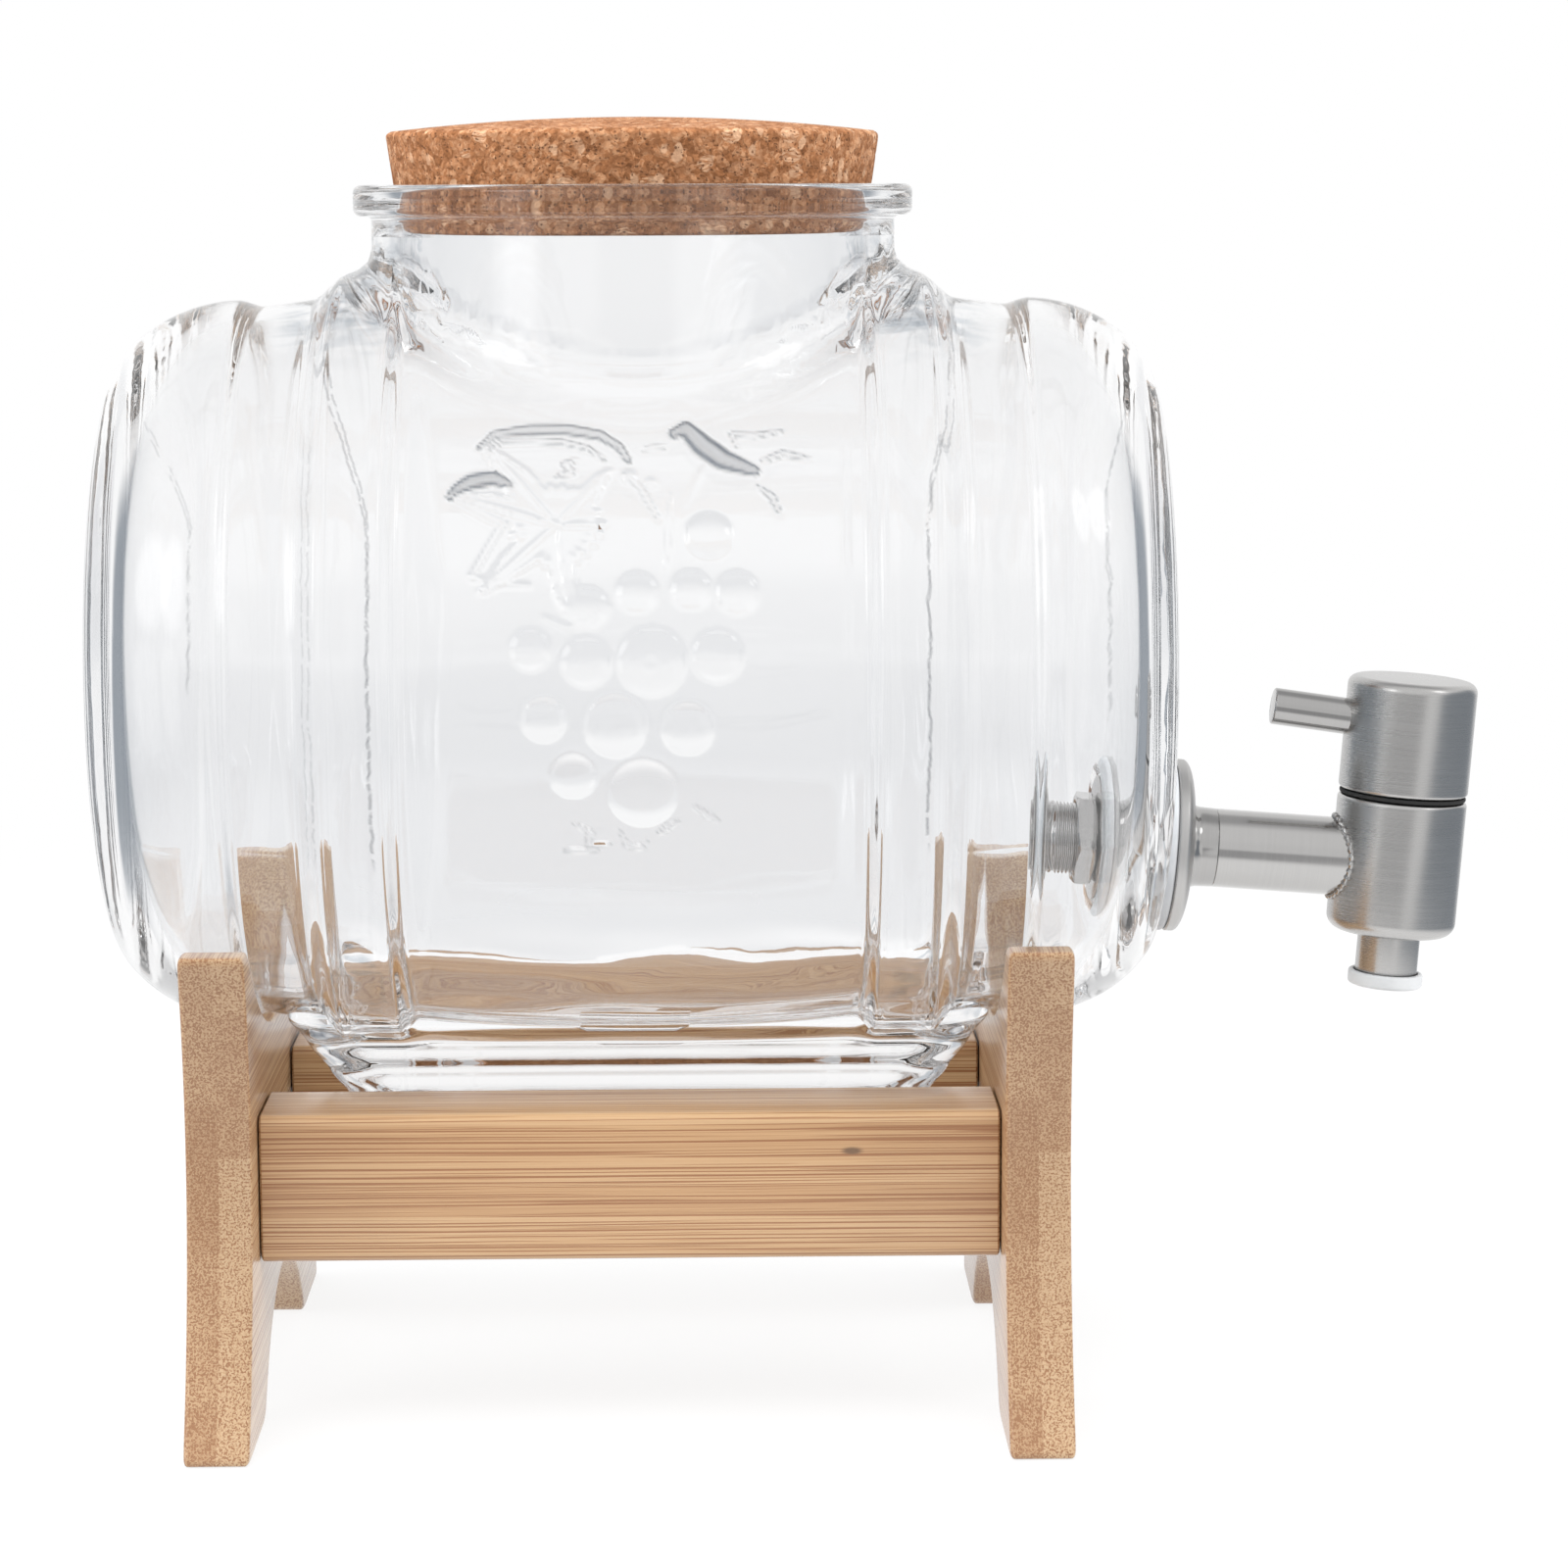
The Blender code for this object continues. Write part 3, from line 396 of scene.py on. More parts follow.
def joined_to_neck(radius, x, angles, wall_radius, softness, cap):
    """Radius of the barrel's skin once it flows into a neck of wall_radius.

    The barrel's distance and the neck's are joined by a polynomial soft minimum, and the skin is
    found by moving the radius by that distance, over and over. It stops at the cap.
    """
    start = radius.copy()
    above = np.sin(angles) > 0.2
    for _ in range(FLOW_ROUNDS):
        from_neck = np.hypot(x, radius * np.cos(angles)) - wall_radius
        from_barrel = radius - start
        share = np.clip(0.5 + 0.5 * (from_neck - from_barrel) / softness, 0.0, 1.0)
        joined = from_neck * (1 - share) + from_barrel * share - softness * share * (1 - share)
        radius = np.where(above, np.clip(radius - joined, start, start + cap), start)
    return radius


# Relief on the front of the barrel: a bunch of grapes with a leaf, its stem and tendrils.
# Places are (x, s) from the middle of the barrel's front, s being the length along the curve, upwards.
# The grapes (x, s, radius) and the ridges are given in tenths of a millimetre.
TENTHS = 10000
GRAPES = np.array((
    (149, 324, 48), (202, 212, 42), (115, 218, 39), (-189, 106, 40), (-84, 83, 48), (40, 83, 66),
    (164, 93, 50), (-165, -26, 44), (-30, -38, 61), (107, -45, 51), (-111, -137, 44), (21, -173, 68),
    (-80, 185, 40), (13, 213, 40), (-2, 447, 16), (39, 433, 12))) / TENTHS
GRAPE_HEIGHT = 0.0012
LEAF_MIDDLE = (-0.0140, 0.0345)
LEAF_LOBES = ((128, 0.0225), (161, 0.0215), (222, 0.0195), (278, 0.0190), (48, 0.0160), (0, 0.0100))
LEAF_LOBE_WIDTH_DEG = 21
LEAF_BASE_RADIUS = 0.0088
LEAF_HEIGHT = 0.0007
LEAF_RIM = 0.0012
# Ridges: (half width, height, darkness of the painted refraction shade on their sides, x and s of each place
# along it)
RIDGE_TABLE = (
    (15, 5, 0.9, (-286, 518, -259, 547, -193, 556, -122, 554, -58, 540, -21, 513, -4, 482)),
    (8, 4, 0.6, (-269, 510, -245, 530, -184, 530, -131, 526, -80, 510, -50, 485)),
    (19, 5, 1.0, (-342, 411, -326, 427, -302, 441, -263, 448, -229, 432)),
    (26, 6, 1.0, (84, 543, 107, 555, 139, 516, 176, 485, 237, 460)),
    (7, 4, 0.0, (142, 469, 121, 424, 106, 387)),
    (9, 4, 0.1, (77, 408, 74, 337, 65, 262)),
    (7, 3, 0.3, (-10, 455, 23, 418, 54, 357)),
    (8, 4, 0.1, (-342, 411, -284, 392, -230, 370, -269, 302, -300, 246, -246, 232, -191, 230)),
    (7, 3, 0.05, (-163, 167, -120, 148, -80, 155, -39, 189)),
    (7, 4, 0.5, (-140, 449, -110, 457, -125, 475, -101, 485)),
    (6, 3, 0.4, (26, 502, 36, 511, 71, 513)),
    (7, 4, 0.6, (204, 517, 195, 544, 238, 541, 293, 554)),
    (8, 4, 0.6, (252, 482, 292, 501, 344, 489)),
    (8, 4, 0.7, (242, 426, 270, 405, 285, 369)),
    (6, 4, 0.4, (-110, -234, -79, -255, -85, -280, -44, -280)),
    (6, 3, 0.35, (-130, -294, -67, -293)),
    (6, 3, 0.35, (-23, -251, -10, -283, 16, -289, 29, -268)),
    (7, 4, 0.45, (50, -256, 87, -231)),
    (6, 3, 0.35, (114, -199, 143, -219, 164, -232)))
RIDGES = [(width / TENTHS, height / TENTHS, darkness, np.reshape(path, (-1, 2)) / TENTHS)
          for width, height, darkness, path in RIDGE_TABLE]
# Angles from and to which the relief is drawn finely, and above which there is none
RELIEF_FRONT = (-0.42, 0.80)
RELIEF_TOP = 1.2


def ridge_share(x, s, path, half_width):
    """Distance of each place to a chain of straight stretches, over the half width of its ridge there.

    The ridge narrows to half at both ends, as the sine of the way along it.
    """
    lengths = [math.hypot(b[0] - a[0], b[1] - a[1]) for a, b in zip(path, path[1:])]
    best = np.full(np.broadcast(x, s).shape, np.inf)
    before = 0.0
    for (x0, s0), (x1, s1), length in zip(path, path[1:], lengths):
        share = np.clip(((x - x0) * (x1 - x0) + (s - s0) * (s1 - s0)) / length ** 2, 0.0, 1.0)
        along = (before + share * length) / sum(lengths)
        width = half_width * (0.5 + 0.5 * np.sin(math.pi * along))
        best = np.minimum(best, np.hypot(x - x0 - share * (x1 - x0), s - s0 - share * (s1 - s0)) / width)
        before += length
    return best


def rod_height(x, s, path, radius, height):
    """A round-topped ridge along a path: height times one less the square of the share of its half width."""
    return height * (1 - np.clip(ridge_share(x, s, path, radius), 0.0, 1.0) ** 2)


def relief_height(x, angles):
    """How far the moulded ornament stands out of the glass, the highest of all its forms."""
    s = angles * belly_top_radius
    high = np.zeros(np.broadcast(x, s).shape)
    for grape_x, grape_s, radius in GRAPES:
        share = np.clip(np.hypot(x - grape_x, s - grape_s) / radius, 0.0, 1.0)
        high = np.maximum(high, GRAPE_HEIGHT * (1 - share ** 2) ** 0.65 * (radius / 0.005) ** 0.5)
    from_x, from_s = x - LEAF_MIDDLE[0], s - LEAF_MIDDLE[1]
    turn, reach = np.degrees(np.arctan2(from_s, from_x)), np.hypot(from_x, from_s)
    edge = np.full(high.shape, LEAF_BASE_RADIUS)
    veins = np.zeros(high.shape)
    for lobe_turn, length in LEAF_LOBES:
        off = (turn - lobe_turn + 180) % 360 - 180
        edge = np.maximum(edge, length * np.exp(-np.abs(off / LEAF_LOBE_WIDTH_DEG) ** 1.3))
        vein = ((0.0, 0.0), (0.85 * length * math.cos(math.radians(lobe_turn)),
                             0.85 * length * math.sin(math.radians(lobe_turn))))
        veins = np.maximum(veins, rod_height(from_x, from_s, vein, 0.0007, 0.0004))
    edge += 0.0006 * np.sin(np.radians(turn) * 23)
    inside = edge - reach
    leaf = LEAF_HEIGHT * smooth(inside, 0.0, 0.0009) - 0.0003 * smooth(inside, LEAF_RIM, 3 * LEAF_RIM)
    high = np.maximum(high, leaf + veins * smooth(inside, 0.0, 0.001))
    for half_width, height, _, path in RIDGES:
        high = np.maximum(high, rod_height(x, s, path, half_width, height))
    return high


def paint_refraction_shade(jar):
    """Writes two attributes of painted refraction shade: the first is 1 on the steep sides of the ridges, the
    second 1 in massive glass.

    Each ridge's painted shade is darkest between 0.3 and 1.1 of its half width. Massive glass is the fillets
    beside the neck and the rounded ends of the foot.
    """
    places = np.empty(3 * len(jar.data.vertices))
    jar.data.vertices.foreach_get("co", places)
    x, y, z = places.reshape(-1, 3).T
    x, high = x - middle_x, z - axis_height
    angle, radius = np.arctan2(high, -y), np.hypot(y, high)
    outside = smooth(radius - belly(np.minimum(np.abs(x), groove_x)), -0.0030, -0.0015)
    thick = np.zeros(len(x))
    for half_width, _, darkness, path in RIDGES:
        share = ridge_share(x, angle * belly_top_radius, path, max(half_width, 0.0009))
        middle_shade = 0.55 * darkness ** 4
        flank = middle_shade + (1 - middle_shade) * smooth(share, 0.30, 0.65)
        thick = np.maximum(thick, darkness * flank * (1 - smooth(share, 0.75, 1.10)))
    thick *= outside * (np.cos(angle) > 0.2)
    # Painted refraction shade in massive glass: the fillets beside the neck and the ends of the foot
    beside = smooth(np.abs(x), 0.046, 0.051) * (1 - smooth(np.abs(x), 0.066, 0.074))
    beside *= smooth(high, 0.063, 0.069) * (1 - smooth(high, 0.084, 0.090)) * (y < 0.02)
    reach = np.abs(x) - FOOT_HALF_LENGTH - FOOT_FLARE_SHARE * np.clip(z - foot_bottom, 0.0, FOOT_FLARE_TOP)
    ends = smooth(reach, -0.0115, -0.0070) * (1 - smooth(z, foot_bottom + 0.020, foot_bottom + 0.026))
    for name, values in (("thick", thick), ("cloudy", np.maximum(0.60 * beside, 0.80 * ends) * outside)):
        jar.data.attributes.new(name, "FLOAT", "POINT").data.foreach_set("value", values)


def outer_skin(settings):
    """Points and faces of the outside of the barrel, with its relief, hoops and neck fillet."""
    low, high = RELIEF_FRONT
    angles = spans((low, high, 156), (high, math.tau + low, 58))[:-1]

    def shape(x, angle, radius):
        reach, rear = np.abs(x), smooth(-np.cos(angle), -0.5, 0.4)
        grown = radius + (crest_radius - belly(np.minimum(reach, groove_x))) * (
            hoop_share(reach, 1 + REAR_SOFTNESS * rear) - hoop_share(reach))
        soft_start = groove_x - REAR_GROOVE_REACH * rear
        grown += GROOVE_DEPTH * (smooth(reach, soft_start, groove_x + GROOVE_SLOPE + REAR_GROOVE_REACH * rear)
                                 - smooth(reach, groove_x, groove_x + GROOVE_SLOPE)) * (reach < shoulder_x)
        grown += settings.relief * relief_height(x, np.minimum(angle, RELIEF_TOP))
        grown = np.minimum(grown, crest_radius)
        wave = ripple(x, angle * belly_top_radius, 3, 0.055)
        grown -= settings.outer_wave * np.clip(1 + wave, 0.0, 2.0) / 2 * (1 - smooth(reach, 0.080, 0.100))
        return joined_to_neck(grown, x, angle, neck_radius - NECK_INSET, settings.neck_fillet, NECK_CAP)

    return barrel_points(outer_profile(), angles, shape)


def inner_skin(settings):
    """Points and faces of the room inside the barrel."""
    angles = np.arange(120) * math.tau / 120

    def shape(x, angle, radius):
        wave = ripple(x, np.sin(angle) * belly_top_radius, 11, 0.034)
        wave += 0.5 * ripple(x, np.cos(angle) * belly_top_radius, 12, 0.020)
        low = smooth(-np.sin(angle), 0.55, 0.85)
        wave += 1.6 * low * ripple(0.22 * x, angle * belly_top_radius, 13, 0.011)
        grown = radius + settings.inner_wave * wave * (1 - smooth(np.abs(x), 0.080, 0.095))
        return joined_to_neck(grown, x, angle, bore_low_radius - BORE_INSET, BORE_FILLET, BORE_CAP)

    return barrel_points(cavity_profile(), angles, shape)


def neck_solid():
    """The neck and its rim as a solid: straight wall, then a rim with rounded edges."""
    under, root, root_radius, cuts = rim_top - RIM_HEIGHT, rim_top - 0.050, neck_radius + 0.0006, 18
    profile = filleted([(root_radius, root, 0), (neck_radius, under, 0.0012),
                        (rim_radius, under, RIM_ROUNDING), (rim_radius, rim_top, RIM_ROUNDING),
                        (MOUTH_RADIUS - 0.004, rim_top, 0)], 6)
    wall = np.linspace((root_radius, root), profile[1], cuts, endpoint=False)
    profile = np.vstack([[(0.0, root)], wall, profile[1:], [(0.0, rim_top)]])
    return turned("neck_solid", profile.T, NECK_PLACE, 168)


def bore_solid():
    """The bore through the neck: a cone that fits the cork above a straight hole."""
    low, bottom, top = bore_low_radius, axis_height + 0.045, rim_top + 0.002
    lip, flare, cuts = 0.0009, 0.0022, 14
    profile = filleted([(low, bottom, 0), (low, cork_low.z - 0.0004, 0.0008),
                        (MOUTH_RADIUS, rim_top - lip, 0.0010), (MOUTH_RADIUS + lip + flare, top, 0)], 4)
    straight = np.stack([np.full(cuts, low), np.linspace(bottom, profile[1, 1], cuts, endpoint=False)], -1)
    profile = np.vstack([[(0.0, bottom)], straight, profile[1:], [(0.0, top)]])
    return turned("bore_solid", profile.T, NECK_PLACE, 168)


def foot_solid():
    """The glass foot: rounded rectangles stacked upwards, each wider by the flare, with faint ribs.

    A rectangle's corner is an arc, and its straight sides are cut into short lengths.
    """
    rib_height, rib_spacing = 0.00016, 0.0066
    levels = foot_bottom + np.concatenate([[0.0, 0.0003, 0.0009, 0.0016], np.linspace(0.0028, 0.024, 24)])
    insets = rib_height * (1 - np.cos(math.tau * (levels - foot_bottom) / rib_spacing))
    insets[:3] = 0.0016, 0.0009, 0.0003
    rings = []
    for level, inset in zip(levels, insets):
        spread = FOOT_FLARE_SHARE * min(level - foot_bottom, FOOT_FLARE_TOP) - inset
        half_x, half_y = FOOT_HALF_LENGTH + spread, FOOT_HALF_WIDTH + spread
        corner = min(FOOT_CORNER, 0.9 * half_y)
        arc = np.linspace(0.0, math.pi / 2, 13)
        quarter = np.stack([half_x - corner + corner * np.cos(arc),
                            half_y - corner + corner * np.sin(arc)], -1)
        side = np.stack([np.linspace(half_x - corner, 0.0, 24)[1:], np.full(23, half_y)], -1)
        half = np.vstack([quarter, side])
        half = np.vstack([half, (half * (-1, 1))[::-1][1:]])
        ring = np.vstack([half, (-half)[1:-1]]) + (middle_x, 0.0)
        rings.append(np.column_stack([ring, np.full(len(ring), level)]))
    return stacked("foot_solid", rings)


def tap_cuts():
    """The hole for the tap's shank, and the flat round seat for the inner gasket, with a slanting side."""
    hole_radius, hole_start, hole_end = 0.0080, -0.012, 0.006
    seat_radius, wide_radius, seat_start = 0.0150, 0.0176, -0.0115
    hole = ((0.0, hole_radius, hole_radius, 0.0), (hole_start, hole_start, hole_end, hole_end))
    seat = ((0.0, wide_radius, seat_radius, 0.0), (seat_start, seat_start, INNER_SEAT, INNER_SEAT))
    return turned("tap_hole", hole, TAP_PLACE, 48), turned("tap_seat", seat, TAP_PLACE, 72)


def glass_jar(settings):
    """The jar in one closed skin: barrel, foot, neck and rim, less room, bore, seat and hole."""
    jar = mesh_of("jar_glass", *outer_skin(settings))
    room = mesh_of("room_solid", *inner_skin(settings))
    hole, seat = tap_cuts()
    applied(jar, ("UNION", foot_solid()), ("UNION", neck_solid()), ("DIFFERENCE", room),
            ("DIFFERENCE", bore_solid()), ("DIFFERENCE", seat), ("DIFFERENCE", hole))
    jar.data.shade_smooth()
    jar.data.set_sharp_from_angle(angle=math.radians(50))
    paint_refraction_shade(jar)
    return jar


# Shape of the cork

def cork_plug():
    """A tapered plug whose skin is pitted: the turned profile less small dents where a wave is high."""
    steps, dome, side, low = 240, 0.0030, MOUTH_RADIUS - FIT, cork_low.z
    low_radius = side - CORK_TAPER_SHARE * (rim_top - low)
    top = cork_high.z - dome
    high_radius = side + CORK_TAPER_SHARE * (top - rim_top)
    profile = filleted([(0.0, low, 0), (low_radius, low, 0.0009), (high_radius, top, 0.0010),
                        (0.0, top, 0)], 6)
    start, end = profile[1:-1], profile[-1]
    bottom = np.stack([np.linspace(0.0, start[0, 0], 12, endpoint=False), np.full(12, low)], -1)
    wall = np.linspace(start[6], start[7], 26, endpoint=False)[1:]
    cap = np.linspace(start[-1], end, 22)[1:]
    profile = np.vstack([bottom, start[:7], wall, start[7:], cap])
    lift = dome * (1 - (profile[:, 0] / high_radius) ** 2) * (profile[:, 1] >= top - 1e-6)
    heights = profile[:, 1] + np.clip(lift, 0.0, None)
    around = np.arange(steps)[None, :] * math.tau / steps * MOUTH_RADIUS
    level = np.cumsum(np.hypot(*np.diff(profile, axis=0, prepend=profile[:1]).T))[:, None]
    rough = ripple(around, level, 21, 0.0032, 14) + ripple(around, level, 22, 0.0016, 14)
    dent = 0.00022 * smooth(rough, 0.9, 2.2) + 0.00005 * np.clip(rough, 0, 2)
    near_axis = smooth(profile[:, 0], 0.004, 0.012)[:, None]
    on_side = smooth(level, 0.044, 0.046) * (1 - smooth(level, 0.0685, 0.0705))
    radii = profile[:, :1] - dent * on_side
    heights = heights[:, None] - dent * (1 - on_side) * near_axis * np.where(level > 0.06, 1, -1)
    return turned("cork_plug", (radii, heights), NECK_PLACE, steps, sharp_deg=60)


# Shape of the stand

def softened(points, amount, spacing):
    """A closed line with its corners rounded: a Gaussian average of its evenly spaced points."""
    count = len(points)
    step = np.minimum(np.arange(count), count - np.arange(count)) * spacing
    weight = np.exp(-0.5 * (step / amount) ** 2)
    weight /= weight.sum()
    spectrum = np.fft.rfft(weight)[:, None]
    return np.fft.irfft(np.fft.rfft(points, axis=0) * spectrum, count, axis=0)


def evenly(points, spacing):
    """The closed line of the points, cut again into even steps."""
    closed = np.vstack([points, points[:1]])
    length = np.concatenate([[0.0], np.cumsum(np.hypot(*np.diff(closed, axis=0).T))])
    count = int(length[-1] / spacing)
    places = np.arange(count) * length[-1] / count
    return np.stack([np.interp(places, length, closed[:, k]) for k in (0, 1)], -1)


def board_outline():
    """(y, z) round an end board: hollow sides, horns, the cradle under the barrel and a low arch."""
    half_foot = 0.0731
    horn = left_high.z
    waist_height, flare, arch_height, foot_width = 0.0600, 0.0161, 0.0220, 0.0325
    side_radius = (flare ** 2 + waist_height ** 2) / (2 * flare)
    z = np.linspace(0.0, horn, 60)
    side = np.stack([half_foot - flare + side_radius
                     - np.sqrt(side_radius ** 2 - (z - waist_height) ** 2), z], -1)
    cradle_radius = BAND_RADIUS + FIT
    opening = math.acos((axis_height - horn) / cradle_radius)
    turn = np.linspace(opening, -opening, 90)
    cradle = np.stack([cradle_radius * np.sin(turn), axis_height - cradle_radius * np.cos(turn)], -1)
    foot_inner = half_foot - foot_width
    arch_radius = (foot_inner ** 2 + arch_height ** 2) / (2 * arch_height)
    y = np.linspace(-foot_inner, foot_inner, 50)
    arch = np.stack([y, arch_height - arch_radius + np.sqrt(arch_radius ** 2 - y ** 2)], -1)
    return np.vstack([side, cradle, (side * (-1, 1))[::-1], arch])


def end_board(name, low, high):
    """A board carried along X, with its outline drawn in by a quarter circle at both faces."""
    spacing, rounding, soft_corner = 0.0009, 0.0010, 0.0010
    soft_edge, soft_growth = 0.0006, 2.7
    outline = softened(evenly(board_outline(), spacing), soft_corner, spacing)
    outline[:, 1] = np.maximum(outline[:, 1], 0.0)
    turn = np.linspace(0.0, math.pi / 2, 6)
    inset = rounding * (1 - np.sin(turn))
    depth = rounding * (1 - np.cos(turn))
    insets = np.concatenate([inset, inset[::-1]])
    stations = np.concatenate([low.x + depth, high.x - depth[::-1]])
    rings = []
    for station, amount in zip(stations, insets):
        drawn = softened(outline, soft_edge + soft_growth * amount, spacing)
        ahead = np.roll(drawn, -1, axis=0) - np.roll(drawn, 1, axis=0)
        loop = drawn + amount * np.stack([-ahead[:, 1], ahead[:, 0]], -1) / np.hypot(*ahead.T)[:, None]
        rings.append(np.column_stack([np.full(len(loop), station), loop]))
    return stacked(name, rings, 30)


def rail_bar(name, node):
    """A rail: a rectangle with round corners carried along X, drawn in a little at both ends."""
    low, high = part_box(node)
    rounding, ends = 0.0018, 0.0004
    corners = [(high.y, high.z), (low.y, high.z), (low.y, low.z), (high.y, low.z)]
    loop = filleted([(y, z, rounding) for y, z in corners], 6)
    middle = loop.mean(0)
    stations = np.concatenate([[low.x, low.x + ends], np.linspace(low.x + 0.004, high.x - 0.004, 20),
                               [high.x - ends, high.x]])
    rings = []
    for index, station in enumerate(stations):
        inset = ends if index in (0, len(stations) - 1) else 0.0
        drawn = loop - np.sign(loop - middle) * inset
        rings.append(np.column_stack([np.full(len(loop), station), drawn]))
    return stacked(name, rings, 30)


# Shape of the tap

def washer(name, inner, outer, start, thickness, edge):
    """A flat ring round the tap's axis with rounded edges."""
    corners = [(inner, start, edge / 2), (outer, start, edge), (outer, start + thickness, edge),
               (inner, start + thickness, edge / 2)]
    return turned(name, filleted(corners, 4).T, TAP_PLACE, 96, closed=True)


def thread_shank():
    """The hollow shank: a smooth end ring, a thread that winds once a pitch, and the collar.

    The thread's radius is the root plus its depth times a rounded triangle wave of
    height / pitch - turn / full turn.
    """
    pitch, depth, steps = 0.00115, 0.00050, 64
    end, collar_start, collar_end, outer, bore = -0.0247, 0.0072, 0.0124, 0.00745, 0.00525
    thread_start, thread_end = end + 0.0036, end + 0.0150
    before = np.array([(bore, end + 0.0006), (bore + 0.0005, end), (outer - 0.0009, end),
                       (outer - 0.0003, end + 0.0004), (outer - 0.0003, end + 0.0026),
                       (outer - 0.0006, end + 0.0030)])
    along = np.linspace(thread_start - 0.0004, thread_end, 120)
    after = filleted([(outer, thread_end + 0.0004, 0), (outer, collar_start, 0),
                      (0.00900, collar_start, 0.0002), (0.00835, collar_start + 0.0014, 0.0030),
                      (0.00820, collar_end, 0.0001), (bore, collar_end, 0.0002)], 4)
    turn = np.arange(steps) / steps
    phase = (along[:, None] / pitch - turn[None, :]) % 1.0
    wave = smooth(np.abs(2 * phase - 1), 0.08, 0.92)
    fade = smooth(along, thread_start - 0.0004, thread_start + 0.0006)[:, None]
    thread = outer - depth + depth * wave * fade
    radii = np.vstack([before[:, :1] + 0 * turn, thread, after[:, :1] + 0 * turn])
    heights = np.concatenate([before[:, 1], along, after[:, 1]])
    return turned("thread_shank", (radii, heights), TAP_PLACE, steps, closed=True, sharp_deg=50)


def hex_nut():
    """The nut inside the glass: a hexagon whose corners are cut back by a cone at both faces."""
    thickness, flats, bore, steps = 0.0068, 0.00915, SHANK_HOLE, 96
    start = INNER_SEAT - FIT - GASKET - FIT - WASHER - FIT - thickness
    turn = np.arange(steps) * math.tau / steps
    hexagon = flats / np.cos((turn + math.pi / 2) % (math.pi / 3) - math.pi / 6)
    depth = np.array([0.0, 0.0002, 0.0005, 0.0008, 0.0012])
    depth = np.concatenate([depth, thickness - depth[::-1]])
    near = np.minimum(depth, thickness - depth)[:, None]
    outer = np.minimum(hexagon[None, :], flats - 0.0002 + near * 1.7)
    inner = np.array([[bore + 0.0005], [bore], [bore], [bore + 0.0005]]) + 0 * turn
    inner_depth = np.array([thickness, thickness - 0.0005, 0.0005, 0.0])
    heights = start + np.concatenate([depth, inner_depth])
    return turned("hex_nut", (np.vstack([outer, inner]), heights), TAP_PLACE, steps, closed=True,
                  sharp_deg=20)


def flange_cap():
    """The domed cover washer over the gasket: flat at the back, a quarter ellipse in front."""
    inner, outer, start, edge, rise, top = SHANK_HOLE, 0.0180, 0.00293, 0.00167, 0.0023, 0.0105
    turn = np.linspace(0.0, math.pi / 2, 12)
    dome = np.stack([top + (outer - top) * np.cos(turn), start + edge + rise * np.sin(turn)], -1)
    profile = np.vstack([[(inner, start), (outer - 0.0003, start), (outer, start + 0.0003)], dome,
                         [(inner + 0.0003, start + edge + rise), (inner, start + edge + rise - 0.0003)]])
    return turned("flange_cap", profile.T, TAP_PLACE, 112, closed=True)


def saddle(radius, body_radius, turn):
    """How far along the tap's axis a pipe of this radius meets the upright body, at each turn."""
    return BODY_REACH - np.sqrt(body_radius ** 2 - (radius * np.sin(turn)) ** 2)


def inlet_pipe():
    """The pipe from the collar to the body, whose far end is cut to the body's round side."""
    start, bore, steps, edge = 0.01243, 0.0055, 96, 0.00015
    turn = np.arange(steps) * math.tau / steps
    far = saddle(PIPE_RADIUS, BODY_RADIUS + FIT, turn)
    share = np.linspace(0.1, 1.0, 8)[:, None]
    radii = np.array([bore, PIPE_RADIUS - edge, PIPE_RADIUS] + [PIPE_RADIUS] * 8 + [bore])
    heights = np.vstack([np.array([[start], [start], [start + edge]]) + 0 * turn,
                         start + share * (far - start), saddle(bore, BODY_RADIUS + FIT, turn)])
    return turned("inlet_pipe_tube", (radii, heights), TAP_PLACE, steps, closed=True)


def weld_bead():
    """The weld where the pipe meets the body: a thin tube along the saddle line, rippled as laid."""
    thick, steps, around = 0.00062, 144, 10
    turn = np.arange(steps)[:, None] * math.tau / steps
    lap = np.arange(around)[None, :] * math.tau / around
    size = thick * (1 + 0.22 * np.sin(36 * turn))
    ring = PIPE_RADIUS + 0.00025 + size * np.cos(lap)
    along = saddle(PIPE_RADIUS, BODY_RADIUS, turn) - 0.0001 + size * np.sin(lap)
    points = np.stack([ring * np.cos(turn), ring * np.sin(turn), along], -1).reshape(-1, 3)
    return mesh_of("weld_bead", points @ TAP_PLACE[:3, :3].T + TAP_PLACE[:3, 3],
                   [grid_faces(steps, around, wrap_rows=True)])


